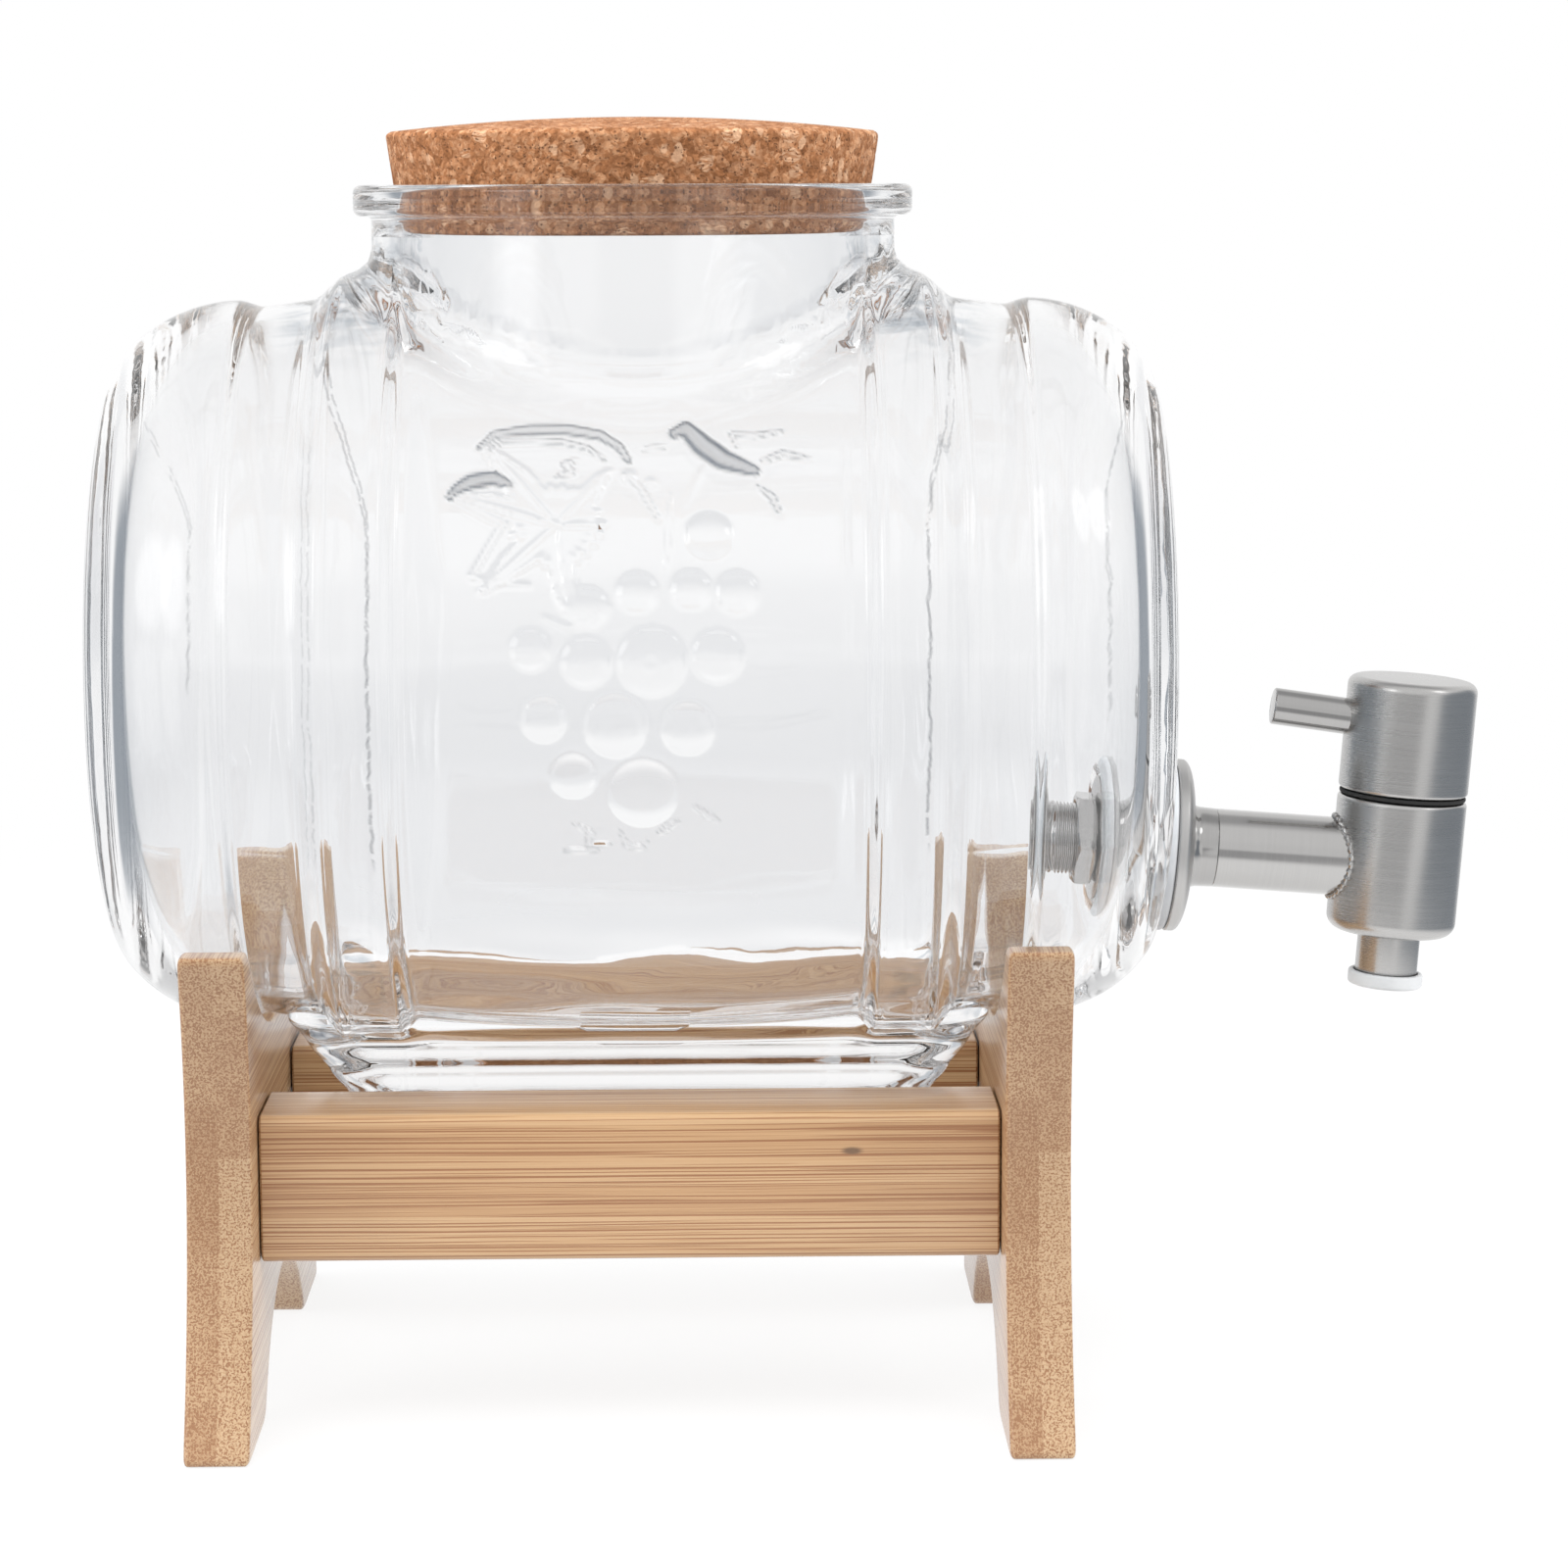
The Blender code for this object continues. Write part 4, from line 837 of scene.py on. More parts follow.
def tap_bodies():
    """The upright body, its spout, the soft tip, the seal, the knob and the lever, as turned profiles."""
    top, depth, floor, recess = 0.0135, 0.0152, 0.0062, 0.0100
    spout, wall, outlet = 0.0065, 0.0010, 0.0055
    body = [(outlet, -depth + 0.0002, 0), (BODY_RADIUS, -depth, 0.0030), (BODY_RADIUS, top, 0.0009),
            (recess, top, 0.0003), (recess, floor - depth, 0), (outlet, floor - depth, 0)]
    end, inside = -depth - 0.0090, 0.0027 - depth
    tube = [(outlet, end, 0.0002), (spout, end, 0.0002), (spout, inside, 0), (outlet, inside, 0)]
    lip, sleeve = end - FIT, spout + FIT
    tip = [(outlet, lip, 0), (outlet, lip - 0.0021, 0.0003), (sleeve + wall, lip - 0.0021, 0.0008),
           (sleeve + wall, lip + 0.0009, 0.0005), (sleeve, lip + 0.0009, 0.0001), (sleeve, lip, 0)]
    stem = 0.0043
    seal = [(stem, 0.0137, 0), (0.01315, 0.0137, 0.0003), (0.01315, 0.0145, 0.0003), (stem, 0.0145, 0)]
    low, high, socket, cavity, skin = 0.0147, 0.0385, 0.0343, 0.0067, 0.0022
    knob = [(0.0, socket, 0), (stem, socket, 0), (stem, low, 0.0002), (cavity, low, 0.0002),
            (cavity, high - skin, 0), (BODY_RADIUS - skin, high - skin, 0),
            (BODY_RADIUS - skin, low, 0.0003), (BODY_RADIUS, low, 0.0009), (BODY_RADIUS, high, 0.0021),
            (0.0, high, 0)]
    tilt, rod, length, start, level = math.radians(4.0), 0.0038, BODY_RADIUS + 0.0155, 0.0070, 0.0287
    lever = [(0.0, start, 0), (rod, start, 0), (rod, length, 0.0004), (0.0, length, 0)]
    lever_place = placed(math.cos(tilt) * body_axis + math.sin(tilt) * tap_along,
                         math.sin(tilt) * body_axis - math.cos(tilt) * tap_along,
                         body_middle + level * body_axis)
    return [turned(name, filleted(corners, arc).T, place, steps, closed)
            for name, corners, arc, place, steps, closed in (
                ("tap_body_cup", body, 8, BODY_PLACE, 128, True),
                ("spout_tube", tube, 3, BODY_PLACE, 96, True),
                ("soft_tip", tip, 5, BODY_PLACE, 96, True),
                ("bearing_seal", seal, 4, BODY_PLACE, 96, True),
                ("knob_cap", knob, 10, BODY_PLACE, 128, False),
                ("lever_bar", lever, 4, lever_place, 64, False))]


# Materials

class Graph:
    """A node tree, with a short call for each kind of node that the looks use."""

    def __init__(self, tree):
        self.tree = tree

    def feed(self, socket, value):
        """Links a socket to another one, or sets it to a value."""
        if isinstance(value, bpy.types.NodeSocket):
            self.tree.links.new(value, socket)
        else:
            socket.default_value = value

    def add(self, kind, sockets=(), **settings):
        """Adds a node with settings, and feeds the sockets given as {name or number: value}."""
        made = self.tree.nodes.new(kind)
        for key, value in settings.items():
            setattr(made, key, value)
        for key, value in dict(sockets).items():
            self.feed(made.inputs[key], value)
        return made

    def math(self, operation, *values, clamp=False):
        """The result of one Math node."""
        return self.add("ShaderNodeMath", dict(enumerate(values)), operation=operation,
                        use_clamp=clamp).outputs[0]

    def times(self, first, second):
        """The product of two numbers."""
        return self.math("MULTIPLY", first, second)

    def plus(self, value, factor, offset, clamp=False):
        """A value times a factor, plus an offset."""
        return self.math("MULTIPLY_ADD", value, factor, offset, clamp=clamp)

    def ranged(self, value, low, high, out_low=0.0, out_high=1.0):
        """The value taken from one range to another with a smooth step, and held at its ends."""
        sockets = {"Value": value, "From Min": low, "From Max": high, "To Min": out_low, "To Max": out_high}
        return self.add("ShaderNodeMapRange", sockets, interpolation_type="SMOOTHSTEP").outputs[0]

    def ramp(self, factor, *stops):
        """A colour ramp from (place, colour) stops."""
        made = self.add("ShaderNodeValToRGB", {"Fac": factor})
        line = made.color_ramp
        for number, (place, colour) in ((0, stops[0]), (1, stops[-1])):
            line.elements[number].position, line.elements[number].color = place, (*colour, 1.0)
        for place, colour in stops[1:-1]:
            line.elements.new(place).color = (*colour, 1.0)
        return made.outputs["Color"]

    def place(self, **sockets):
        """Object coordinates after a Mapping node."""
        source = self.add("ShaderNodeTexCoord").outputs["Object"]
        return self.add("ShaderNodeMapping", {"Vector": source, **sockets}).outputs["Vector"]

    def vectors(self, operation, *values):
        """The outputs of one Vector Math node: Vector or Value."""
        return self.add("ShaderNodeVectorMath", dict(enumerate(values)), operation=operation).outputs

    def scaled(self, vector, *scale):
        """The vector times a scale for each axis."""
        return self.vectors("MULTIPLY", vector, scale)["Vector"]

    def parts(self, vector):
        """The X, Y and Z of a vector."""
        return self.add("ShaderNodeSeparateXYZ", {0: vector}).outputs

    def joined(self, *values):
        """A vector of its X, Y and Z."""
        return self.add("ShaderNodeCombineXYZ", dict(enumerate(values))).outputs[0]

    def noise(self, vector, scale=1.0, detail=2.0, roughness=0.5, distortion=0.0):
        """The value of a noise texture."""
        return self.add("ShaderNodeTexNoise", {"Vector": vector, "Scale": scale, "Detail": detail,
                                               "Roughness": roughness, "Distortion": distortion}).outputs[0]

    def cells(self, vector, scale, randomness=1.0, dimensions="3D"):
        """A Voronoi texture: the distance from each cell's middle, and three random numbers of its own."""
        made = self.add("ShaderNodeTexVoronoi", {"Vector": vector, "Scale": scale, "Randomness": randomness},
                        voronoi_dimensions=dimensions).outputs
        return made["Distance"], self.add("ShaderNodeSeparateColor", {0: made["Color"]}).outputs

    def mixed(self, factor, first, second):
        """Two colours mixed by a factor."""
        made = self.add("ShaderNodeMix", {0: factor}, data_type="RGBA")
        for number, value in ((6, first), (7, second)):
            linked = isinstance(value, bpy.types.NodeSocket)
            self.feed(made.inputs[number], value if linked else (*value, 1.0))
        return made.outputs[2]

    def bumped(self, height, distance, strength=1.0):
        """A normal from a height, in metres of relief."""
        sockets = {"Height": height, "Distance": distance, "Strength": strength}
        return self.add("ShaderNodeBump", sockets).outputs["Normal"]

    def grouped(self, make, name, sockets):
        """The outputs of a shared effect, whose group is built the first time that it is asked for."""
        group = bpy.data.node_groups.get(name) or make(name)
        return self.add("ShaderNodeGroup", sockets, node_tree=group).outputs

    def ended(self, sockets):
        """The group, once its outputs have their values."""
        self.add("NodeGroupOutput", sockets)
        return self.tree


def fresh_material(name):
    """An empty node material and its graph."""
    material = bpy.data.materials.new(name)
    material.use_nodes = True
    material.node_tree.nodes.clear()
    return material, Graph(material.node_tree)


def surfaced(material, g, shader):
    """The material, once its output has this shader."""
    g.add("ShaderNodeOutputMaterial", {"Surface": shader.outputs[0]})
    return material


def new_group(name, ins, outs):
    """A new shader node group's graph and inputs, from the {label: kind} of its sockets."""
    tree = bpy.data.node_groups.new(name, "ShaderNodeTree")
    for way, sockets in (("INPUT", ins), ("OUTPUT", outs)):
        for label, kind in sockets.items():
            tree.interface.new_socket(label, in_out=way, socket_type="NodeSocket" + kind)
    return Graph(tree), tree.nodes.new("NodeGroupInput").outputs


def fibre_group(name):
    """Bamboo's fibres. The vector is (along, across, deep): strips of their own tone, dark lines and dots."""
    g, given = new_group(name, {"Vector": "Vector", "Strip": "Float", "Ply": "Float", "Fibres": "Float",
                                "Variety": "Float"}, {"Tone": "Float", "Dots": "Float", "Height": "Float"})
    vector, density = given["Vector"], given["Fibres"]
    parts = g.parts(vector)
    ply = g.math("FLOOR", g.math("DIVIDE", parts[2], given["Ply"]))
    strip = g.math("FLOOR", g.plus(ply, 0.37, g.math("DIVIDE", parts[1], given["Strip"])))
    seed = g.joined(strip, ply)
    own = g.add("ShaderNodeTexWhiteNoise", {"Vector": seed}).outputs[0]
    moved = g.vectors("ADD", vector, g.scaled(seed, 0.31, 0.013, 0.017))[0]
    wander = g.plus(g.noise(g.scaled(moved, 9.0, 40.0, 40.0)), 0.0011, -0.00055)
    bent = g.vectors("ADD", moved, g.joined(0.0, wander))[0]
    fine = g.noise(g.scaled(bent, 20.0, 3600.0, 3600.0), density, 3.0, 0.6)
    coarse = g.noise(g.scaled(bent, 6.0, 300.0, 300.0), density)
    long_lines = g.ranged(g.noise(g.scaled(bent, 4.0, 2300.0, 2300.0), density, 1.0), 0.57, 0.62)
    short_lines = g.ranged(g.noise(g.scaled(bent, 14.0, 2500.0, 2500.0), density, 1.0), 0.58, 0.65)
    lines = g.plus(short_lines, 0.55, long_lines, clamp=True)
    tone = g.plus(coarse, 0.18, g.plus(fine, 0.60, 0.11))
    tone = g.plus(g.math("SUBTRACT", own, 0.5), given["Variety"], tone)
    tone = g.plus(lines, -0.54, g.math("ADD", tone, 0.02), clamp=True)
    sides = g.parts(bent)
    section = g.scaled(g.joined(sides[1], sides[2]), 1420.0, 1420.0, 0.0)
    distance, bundle_own = g.cells(section, density, 0.8, "2D")
    dots = g.times(g.ranged(distance, 0.46, 0.14), g.ranged(bundle_own[0], -0.2, 0.7))
    return g.ended({"Tone": tone, "Dots": dots, "Height": g.plus(lines, -0.6, fine)})


def brush_group(name):
    """Brushing marks round an axis: noise drawn out in rings along Z, and slow smudges."""
    g, given = new_group(name, {"Vector": "Vector", "Fineness": "Float"},
                         {"Rings": "Float", "Smudge": "Float"})
    rings = g.noise(g.scaled(given["Vector"], 34.0, 34.0, 6500.0), given["Fineness"])
    smudge = g.noise(g.scaled(given["Vector"], 1.0, 1.0, 2.5), 70.0, 3.0, 0.55)
    return g.ended({"Rings": rings, "Smudge": smudge})


def mottle_group(name):
    """Uneven moulded skin: cloudy tone and a fine grain for soft parts, plastic and plain wood."""
    g, given = new_group(name, {"Vector": "Vector", "Scale": "Float"}, {"Cloud": "Float", "Grain": "Float"})
    vector, scale = given["Vector"], given["Scale"]
    return g.ended({"Cloud": g.noise(vector, scale, 3.0, 0.6), "Grain": g.noise(vector, g.times(scale, 9.0))})


# Painted refraction lines down the front, dark where the rear hoops' edges show through the glass:
# (x at their foot, x at their top, where they bend, where they start and end, darkness). Heights are
# over the barrel's axis, and x is from its middle.
REFRACTION_LINES = ((-0.0497, -0.0596, (0.030, 0.066), (-0.034, 0.067), 0.50),
         (-0.0838, -0.0985, (0.030, 0.064), (0.000, 0.058), 0.30),
         (0.0565, 0.0622, (0.030, 0.066), (-0.030, 0.067), 0.50),
         (0.0910, 0.0985, (0.036, 0.062), (-0.006, 0.060), 0.34),
         (-0.0606, -0.0612, (0.000, 0.060), (-0.034, 0.050), 0.28))


def painted_refraction_lines(g, place):
    """Painted refraction lines down the front: full within 0.1 mm of a line that wanders by noise, none
    beyond 0.4 mm.
    """
    parts = g.parts(place)
    level, across = g.math("SUBTRACT", parts[2], axis_height), g.math("SUBTRACT", parts[0], middle_x)
    lines = 0.0
    for number, (foot_x, top_x, bend, (start, end), darkness) in enumerate(REFRACTION_LINES):
        seed = g.joined(7.3 * number, 0.0, g.times(level, 170.0))
        swing = g.plus(g.noise(seed, 1.0, 4.0, 0.65), 0.0024, -0.0012)
        line = g.math("ADD", g.ranged(level, *bend, foot_x, top_x), swing)
        off = g.math("ABSOLUTE", g.math("SUBTRACT", across, line))
        share = g.times(g.ranged(off, 0.0004, 0.0001), g.ranged(g.noise(seed, 2.7), 0.36, 0.50))
        share = g.times(share, g.ranged(level, start, start + 0.006))
        share = g.times(share, g.ranged(level, end, end - 0.004, 0.0, darkness))
        lines = g.math("MAXIMUM", share, lines)
    return g.times(lines, g.ranged(parts[1], -0.010, -0.016))


def glass_material(looks):
    """Clear moulded glass: slightly uneven skin, faint tint, painted refraction shade, and shadows that let
    the light through.
    """
    material, g = fresh_material("clear_glass")
    place = g.place()
    height = g.plus(g.noise(place, 160.0, 1.0), 0.12, g.noise(place, 34.0, 2.0, 0.4))
    thick, cloudy = (g.add("ShaderNodeAttribute", attribute_name=name).outputs["Fac"]
                     for name in ("thick", "cloudy"))
    swirl = g.noise(g.scaled(place, 80.0, 170.0, 200.0), 1.0, 1.0, distortion=0.9)
    # Painted refraction shade in massive glass, streaked by noise
    colour = g.mixed(g.times(cloudy, g.ranged(swirl, 0.42, 0.62)), looks.tint, looks.massive_shade_colour)
    # Painted refraction shade on the ridges' steep sides and in the lines down the front
    colour = g.mixed(g.math("MAXIMUM", thick, painted_refraction_lines(g, place)), colour, looks.steep_shade_colour)
    shader = g.add("ShaderNodeBsdfPrincipled", {
        "Base Color": colour, "Roughness": 0.0, "IOR": 1.5, "Transmission Weight": 1.0,
        "Normal": g.bumped(height, looks.skin_wave)})
    clear = g.add("ShaderNodeBsdfTransparent", {"Color": (*looks.shadow_tint, 1.0)})
    shadow = g.add("ShaderNodeLightPath").outputs["Is Shadow Ray"]
    return surfaced(material, g, g.add("ShaderNodeMixShader", {
        0: shadow, 1: shader.outputs[0], 2: clear.outputs[0]}))


def bamboo_material(name, looks, along, strip, ply, colours, dots_strength, variety, centre=0.0, knot=None):
    """Laminated bamboo whose fibres run along one axis, under a satin lacquer. centre is on X.

    variety is how far the strips' tones lie apart.
    """
    material, g = fresh_material(name)
    parts = g.parts(g.place(Location=(-centre, 0.0, 0.0)))
    vector = g.joined(*(parts[axis] for axis in {"X": (0, 2, 1), "Y": (1, 2, 0)}[along]))
    fibres = g.grouped(fibre_group, "bamboo_fibres", {"Vector": vector, "Strip": strip, "Ply": ply,
                                                      "Fibres": looks.fibre_density, "Variety": variety})
    tone = g.plus(fibres["Dots"], -dots_strength, fibres["Tone"], clamp=True)
    colour = g.ramp(tone, *zip((0.10, 0.50, 0.84), colours))
    if knot:
        spot = g.scaled(g.vectors("SUBTRACT", g.place(), knot)[0], 0.6, 1.0, 1.6)
        mark = g.ranged(g.vectors("LENGTH", spot)["Value"], 0.0017, 0.0006)
        colour = g.mixed(mark, colour, (0.16, 0.085, 0.04))
    return surfaced(material, g, g.add("ShaderNodeBsdfPrincipled", {
        "Base Color": colour, "Coat Weight": 1.0, "Coat Roughness": 0.24,
        "Roughness": g.ranged(fibres["Tone"], 0.2, 0.8, looks.roughness + 0.12, looks.roughness),
        "Normal": g.bumped(fibres["Height"], 0.00007, 0.7)}))


def cork_material(looks):
    """Pressed cork: packed granules of many browns, some pale chips, dark specks and crumbly pits."""
    material, g = fresh_material("pressed_cork")
    place = g.place()
    shake = g.add("ShaderNodeTexNoise", {"Vector": place, "Scale": 420.0, "Detail": 2.0}).outputs["Color"]
    warp = g.vectors("MULTIPLY_ADD", shake, (0.0015, 0.0015, 0.0015), place)[0]
    gap, grain_own = g.cells(warp, 620.0)
    tone = g.plus(grain_own[0], 0.46, g.times(g.cells(warp, 1500.0)[1][1], 0.40))
    tone = g.plus(g.noise(place, 130.0, 3.0), 0.22, tone, clamp=True)
    colour = g.ramp(tone, (0.15, looks.dark), (0.52, looks.middle), (0.90, looks.light))
    rings = g.noise(g.scaled(warp, 500.0, 500.0, 2600.0), 1.0, 1.0)
    chip_colour = g.ramp(rings, (0.35, looks.middle), (0.62, looks.chip))
    # Chips, crumbs and specks: (cells, their size, which random number picks them and from where to where,
    # edge from and to, how much they cover, colour)
    for vector, scale, own, picked, edge, cover, tint in (
            (g.scaled(warp, 1.0, 1.0, 1.45), 185.0, 0, (0.80, 0.84), (0.46, 0.42), 0.92, chip_colour),
            (g.scaled(warp, 1.0, 1.0, 0.7), 360.0, 1, (0.80, 0.84), (0.42, 0.30), 0.75, looks.chip),
            (warp, 1700.0, 2, (0.74, 0.80), (0.46, 0.30), 0.85, looks.speck)):
        distance, numbers = g.cells(vector, scale)
        bit = g.times(g.ranged(numbers[own], *picked), g.ranged(distance, *edge))
        colour = g.mixed(g.times(bit, cover), colour, tint)
    crack = g.ranged(gap, 0.30, 0.62)
    colour = g.mixed(g.times(crack, 0.28), colour, looks.speck)
    height = g.plus(bit, -0.9, g.plus(crack, -0.8, g.noise(place, 2400.0)))
    return surfaced(material, g, g.add("ShaderNodeBsdfPrincipled", {
        "Base Color": colour, "Roughness": g.ranged(tone, 0.2, 0.9, 0.92, 0.70),
        "Specular IOR Level": 0.25, "Normal": g.bumped(height, 0.00022, 0.8)}))


# Steels: (turn that brings the marks' axis to Z, fineness of the marks, roughness from and to, what the
# relief is divided by, brightness). They are brushed round the upright body, round the pipe, and polished.
UPRIGHT_TURN = (0.0, -math.atan2(body_axis[0], body_axis[2]), 0.0)
ALONG_TURN = (0.0, -math.pi / 2 - math.atan2(body_axis[0], body_axis[2]), 0.0)
STEELS = {"steel_upright": (UPRIGHT_TURN, 1.0, (0.25, 0.31), 1, 1.0),
          "steel_pipe": (ALONG_TURN, 1.0, (0.10, 0.16), 2, 0.98),
          "steel_polished": (ALONG_TURN, 0.6, (0.08, 0.15), 3, 0.85),
          "steel_satin": (ALONG_TURN, 0.6, (0.36, 0.46), 1, 1.04)}


def steel(name, looks):
    """Stainless steel with brush marks, from the table of steels, made once."""
    if name in bpy.data.materials:
        return bpy.data.materials[name]
    axis_turn, fineness, roughness, divisor, brightness = STEELS[name]
    material, g = fresh_material(name)
    marks = g.grouped(brush_group, "brushed_rings", {"Vector": g.place(Rotation=axis_turn),
                                                     "Fineness": fineness})
    both = g.plus(marks["Smudge"], 0.35, g.times(marks["Rings"], 0.65))
    light = tuple(brightness * part for part in looks.colour)
    return surfaced(material, g, g.add("ShaderNodeBsdfPrincipled", {
        "Base Color": g.ramp(both, (0.30, tuple(0.93 * part for part in light)), (0.70, light)),
        "Metallic": 1.0, "Roughness": g.ranged(both, 0.3, 0.7, *roughness),
        "Normal": g.bumped(marks["Rings"], looks.relief / divisor, 0.8)}))


# Silicone, nylon and the beech of the dowels, which is drawn out along X: (darker tone, lighter tone,
# scale of the clouds, roughness, transmission, stretch, relief)
EVEN = (1.0, 1.0, 1.0)
MOULDED = {
    "grey_silicone": ((0.51, 0.52, 0.535), (0.58, 0.59, 0.605), 160.0, 0.50, 0.0, EVEN, 0.00003),
    "white_silicone": ((0.76, 0.76, 0.75), (0.84, 0.84, 0.83), 160.0, 0.50, 0.0, EVEN, 0.00003),
    "clear_silicone": ((0.60, 0.61, 0.62), (0.66, 0.67, 0.68), 220.0, 0.34, 0.08, EVEN, 0.000002),
    "white_nylon": ((0.76, 0.76, 0.73), (0.84, 0.84, 0.82), 200.0, 0.42, 0.0, EVEN, 0.00003),
    "dowel_wood": ((0.50, 0.31, 0.16), (0.66, 0.45, 0.27), 900.0, 0.60, 0.0, (0.06, 1.0, 1.0), 0.00006)}


def moulded(name):
    """Two near tones in clouds, with a fine grain, from the table of moulded materials."""
    first, second, scale, rough, transmission, stretch, relief = MOULDED[name]
    material, g = fresh_material(name)
    skin = g.grouped(mottle_group, "moulded_skin", {"Vector": g.place(Scale=stretch), "Scale": scale})
    return surfaced(material, g, g.add("ShaderNodeBsdfPrincipled", {
        "Base Color": g.ramp(skin["Cloud"], (0.30, first), (0.70, second)),
        "Roughness": g.ranged(skin["Cloud"], 0.2, 0.8, rough + 0.08, rough - 0.06),
        "Transmission Weight": transmission, "Normal": g.bumped(skin["Grain"], relief, 0.6)}))


# Settings that a user may change

KINDS = {"colour": (FloatVectorProperty, {"subtype": "COLOR", "size": 3, "min": 0.0, "max": 1.0}),
         "length": (FloatProperty, {"subtype": "DISTANCE", "unit": "LENGTH", "precision": 5}),
         "place": (FloatVectorProperty, {"subtype": "TRANSLATION", "unit": "LENGTH"}),
         "share": (FloatProperty, {"subtype": "FACTOR"}),
         "angle": (FloatProperty, {"subtype": "ANGLE"}),
         "lens": (FloatProperty, {"subtype": "DISTANCE_CAMERA"}),
         "power": (FloatProperty, {"unit": "POWER"})}


def setting(kind, name, description, default, **limits):
    """A property of one of the kinds, with its name, description, default and limits."""
    make, fixed = KINDS[kind]
    return make(name=name, description=description, default=default, **fixed, **limits)


class GlassLooks(bpy.types.PropertyGroup):
    """Looks of the jar."""
    tint: setting("colour", "Tint", "Colour that each pass through the skin leaves", (0.971, 0.973, 0.977))
    # Colour of the painted refraction shade on the relief's steep sides and in the lines down the front
    steep_shade_colour: setting("colour", "Steep glass", "Colour of the relief's steep sides", (0.07, 0.085, 0.11))
    # Colour of the painted refraction shade in the neck's fillets and the foot's ends
    massive_shade_colour: setting("colour", "Massive glass", "Colour of foot ends and fillets", (0.25, 0.32, 0.39))
    shadow_tint: setting("colour", "Shadow tint", "Light let through in the shadow", (0.93, 0.95, 0.96))
    relief: setting("share", "Relief", "Height of the grapes and leaf, as a share", 1.0, min=0.0, max=1.5)
    outer_wave: setting("length", "Outer wave", "Unevenness of the outside", 0.00007)
    inner_wave: setting("length", "Inner wave", "Unevenness of the inside", 0.00009)
    skin_wave: setting("length", "Skin wave", "Height of the ripples in the glass finish", 0.00010)
    neck_fillet: setting("length", "Neck fillet", "How softly the barrel flows into the neck", 0.0090)


class CorkLooks(bpy.types.PropertyGroup):
    """Colours of the stopper."""
    dark: setting("colour", "Dark granules", "Darkest granules", (0.20, 0.078, 0.030))
    middle: setting("colour", "Middle granules", "Most of the granules", (0.365, 0.158, 0.068))
    light: setting("colour", "Light granules", "Lightest granules", (0.56, 0.300, 0.160))
    chip: setting("colour", "Pale chips", "Large pale chips", (0.68, 0.42, 0.26))
    speck: setting("colour", "Specks", "Dark specks and cracks", (0.13, 0.055, 0.026))


class BambooLooks(bpy.types.PropertyGroup):
    """Colours and grain of the stand."""
    dark: setting("colour", "Dark fibres", "Colour of the darkest fibres", (0.29, 0.125, 0.046))
    warm: setting("colour", "Middle tone", "Colour of most of the wood", (0.500, 0.296, 0.142))
    pale: setting("colour", "Pale tone", "Colour between the fibres", (0.600, 0.400, 0.225))
    edge_shade: setting("share", "Edge shade", "Tone of the boards against the rails", 0.86, min=0.2, max=1.5)
    roughness: setting("share", "Roughness", "Roughness of the lacquer", 0.42, min=0.0, max=1.0)
    fibre_density: setting("share", "Fibre density", "How closely the fibres lie", 1.0, min=0.2, max=5.0)
    rail_strip: setting("length", "Rail strip", "Height of the strips in the rails", 0.0062)
    board_strip: setting("length", "Board strip", "Height of the strips in the end boards", 0.0290)
    board_ply: setting("length", "Board ply", "Thickness of each of a board's two layers", 0.0065)


class SteelLooks(bpy.types.PropertyGroup):
    """Looks of the tap's steel."""
    colour: setting("colour", "Steel", "Colour of the steel", (0.56, 0.553, 0.545))
    relief: setting("length", "Brush marks", "Depth of the brush marks", 0.0000008)


class StudioLooks(bpy.types.PropertyGroup):
    """Camera and light."""
    lens: setting("lens", "Lens", "Focal length in millimetres on a 36 mm wide image", 94.5)
    camera_place: setting("place", "Camera place", "Where the camera stands", (-0.019169, -0.84945, 0.24702))
    camera_yaw: setting("angle", "Yaw", "Camera's turn to the side", -0.0198)
    camera_pitch: setting("angle", "Pitch", "Camera's tilt downwards", 0.1443)
    camera_roll: setting("angle", "Roll", "Camera's roll", -0.0036)
    floor: setting("colour", "Floor", "Colour of the floor", (0.90, 0.90, 0.90))
    floor_glow: setting("share", "Floor glow", "How much the floor near the object glows", 0.86,
                        min=0.0, max=1.0)
    key_power: setting("power", "Key light", "Power of the large light above the front", 17.0)
    fill_power: setting("power", "Side light", "Power of each light at the sides", 12.0)


class DispenserLooks(bpy.types.PropertyGroup):
    """All settings of the dispenser's looks."""
    glass: PointerProperty(type=GlassLooks)
    cork: PointerProperty(type=CorkLooks)
    bamboo: PointerProperty(type=BambooLooks)
    steel: PointerProperty(type=SteelLooks)
    studio: PointerProperty(type=StudioLooks)


# Operators

GLASS_BOUNCES = 28
# The one dark knot in the front rail, and how the boards' tones differ from the rails', red to blue
KNOT_PLACE = (0.0101, -0.0458, 0.0560)
EDGE_GREY = (1.0, 1.09, 1.24)


class MakeJar(bpy.types.Operator):
    """Builds the glass jar with its hoops, foot, neck and moulded grapes"""
    bl_idname = "dispenser.make_jar"
    bl_label = "Glass jar"

    def execute(self, context):
        looks = context.scene.dispenser.glass
        settle(glass_jar(looks), "jar", "clear_glass", glass_material(looks), "glass_jar")
        return {"FINISHED"}


class MakeCork(bpy.types.Operator):
    """Builds the pressed cork stopper"""
    bl_idname = "dispenser.make_cork"
    bl_label = "Cork stopper"

    def execute(self, context):
        looks = context.scene.dispenser.cork
        settle(cork_plug(), "stopper", "pressed_cork", cork_material(looks), "cork_stopper")
        return {"FINISHED"}


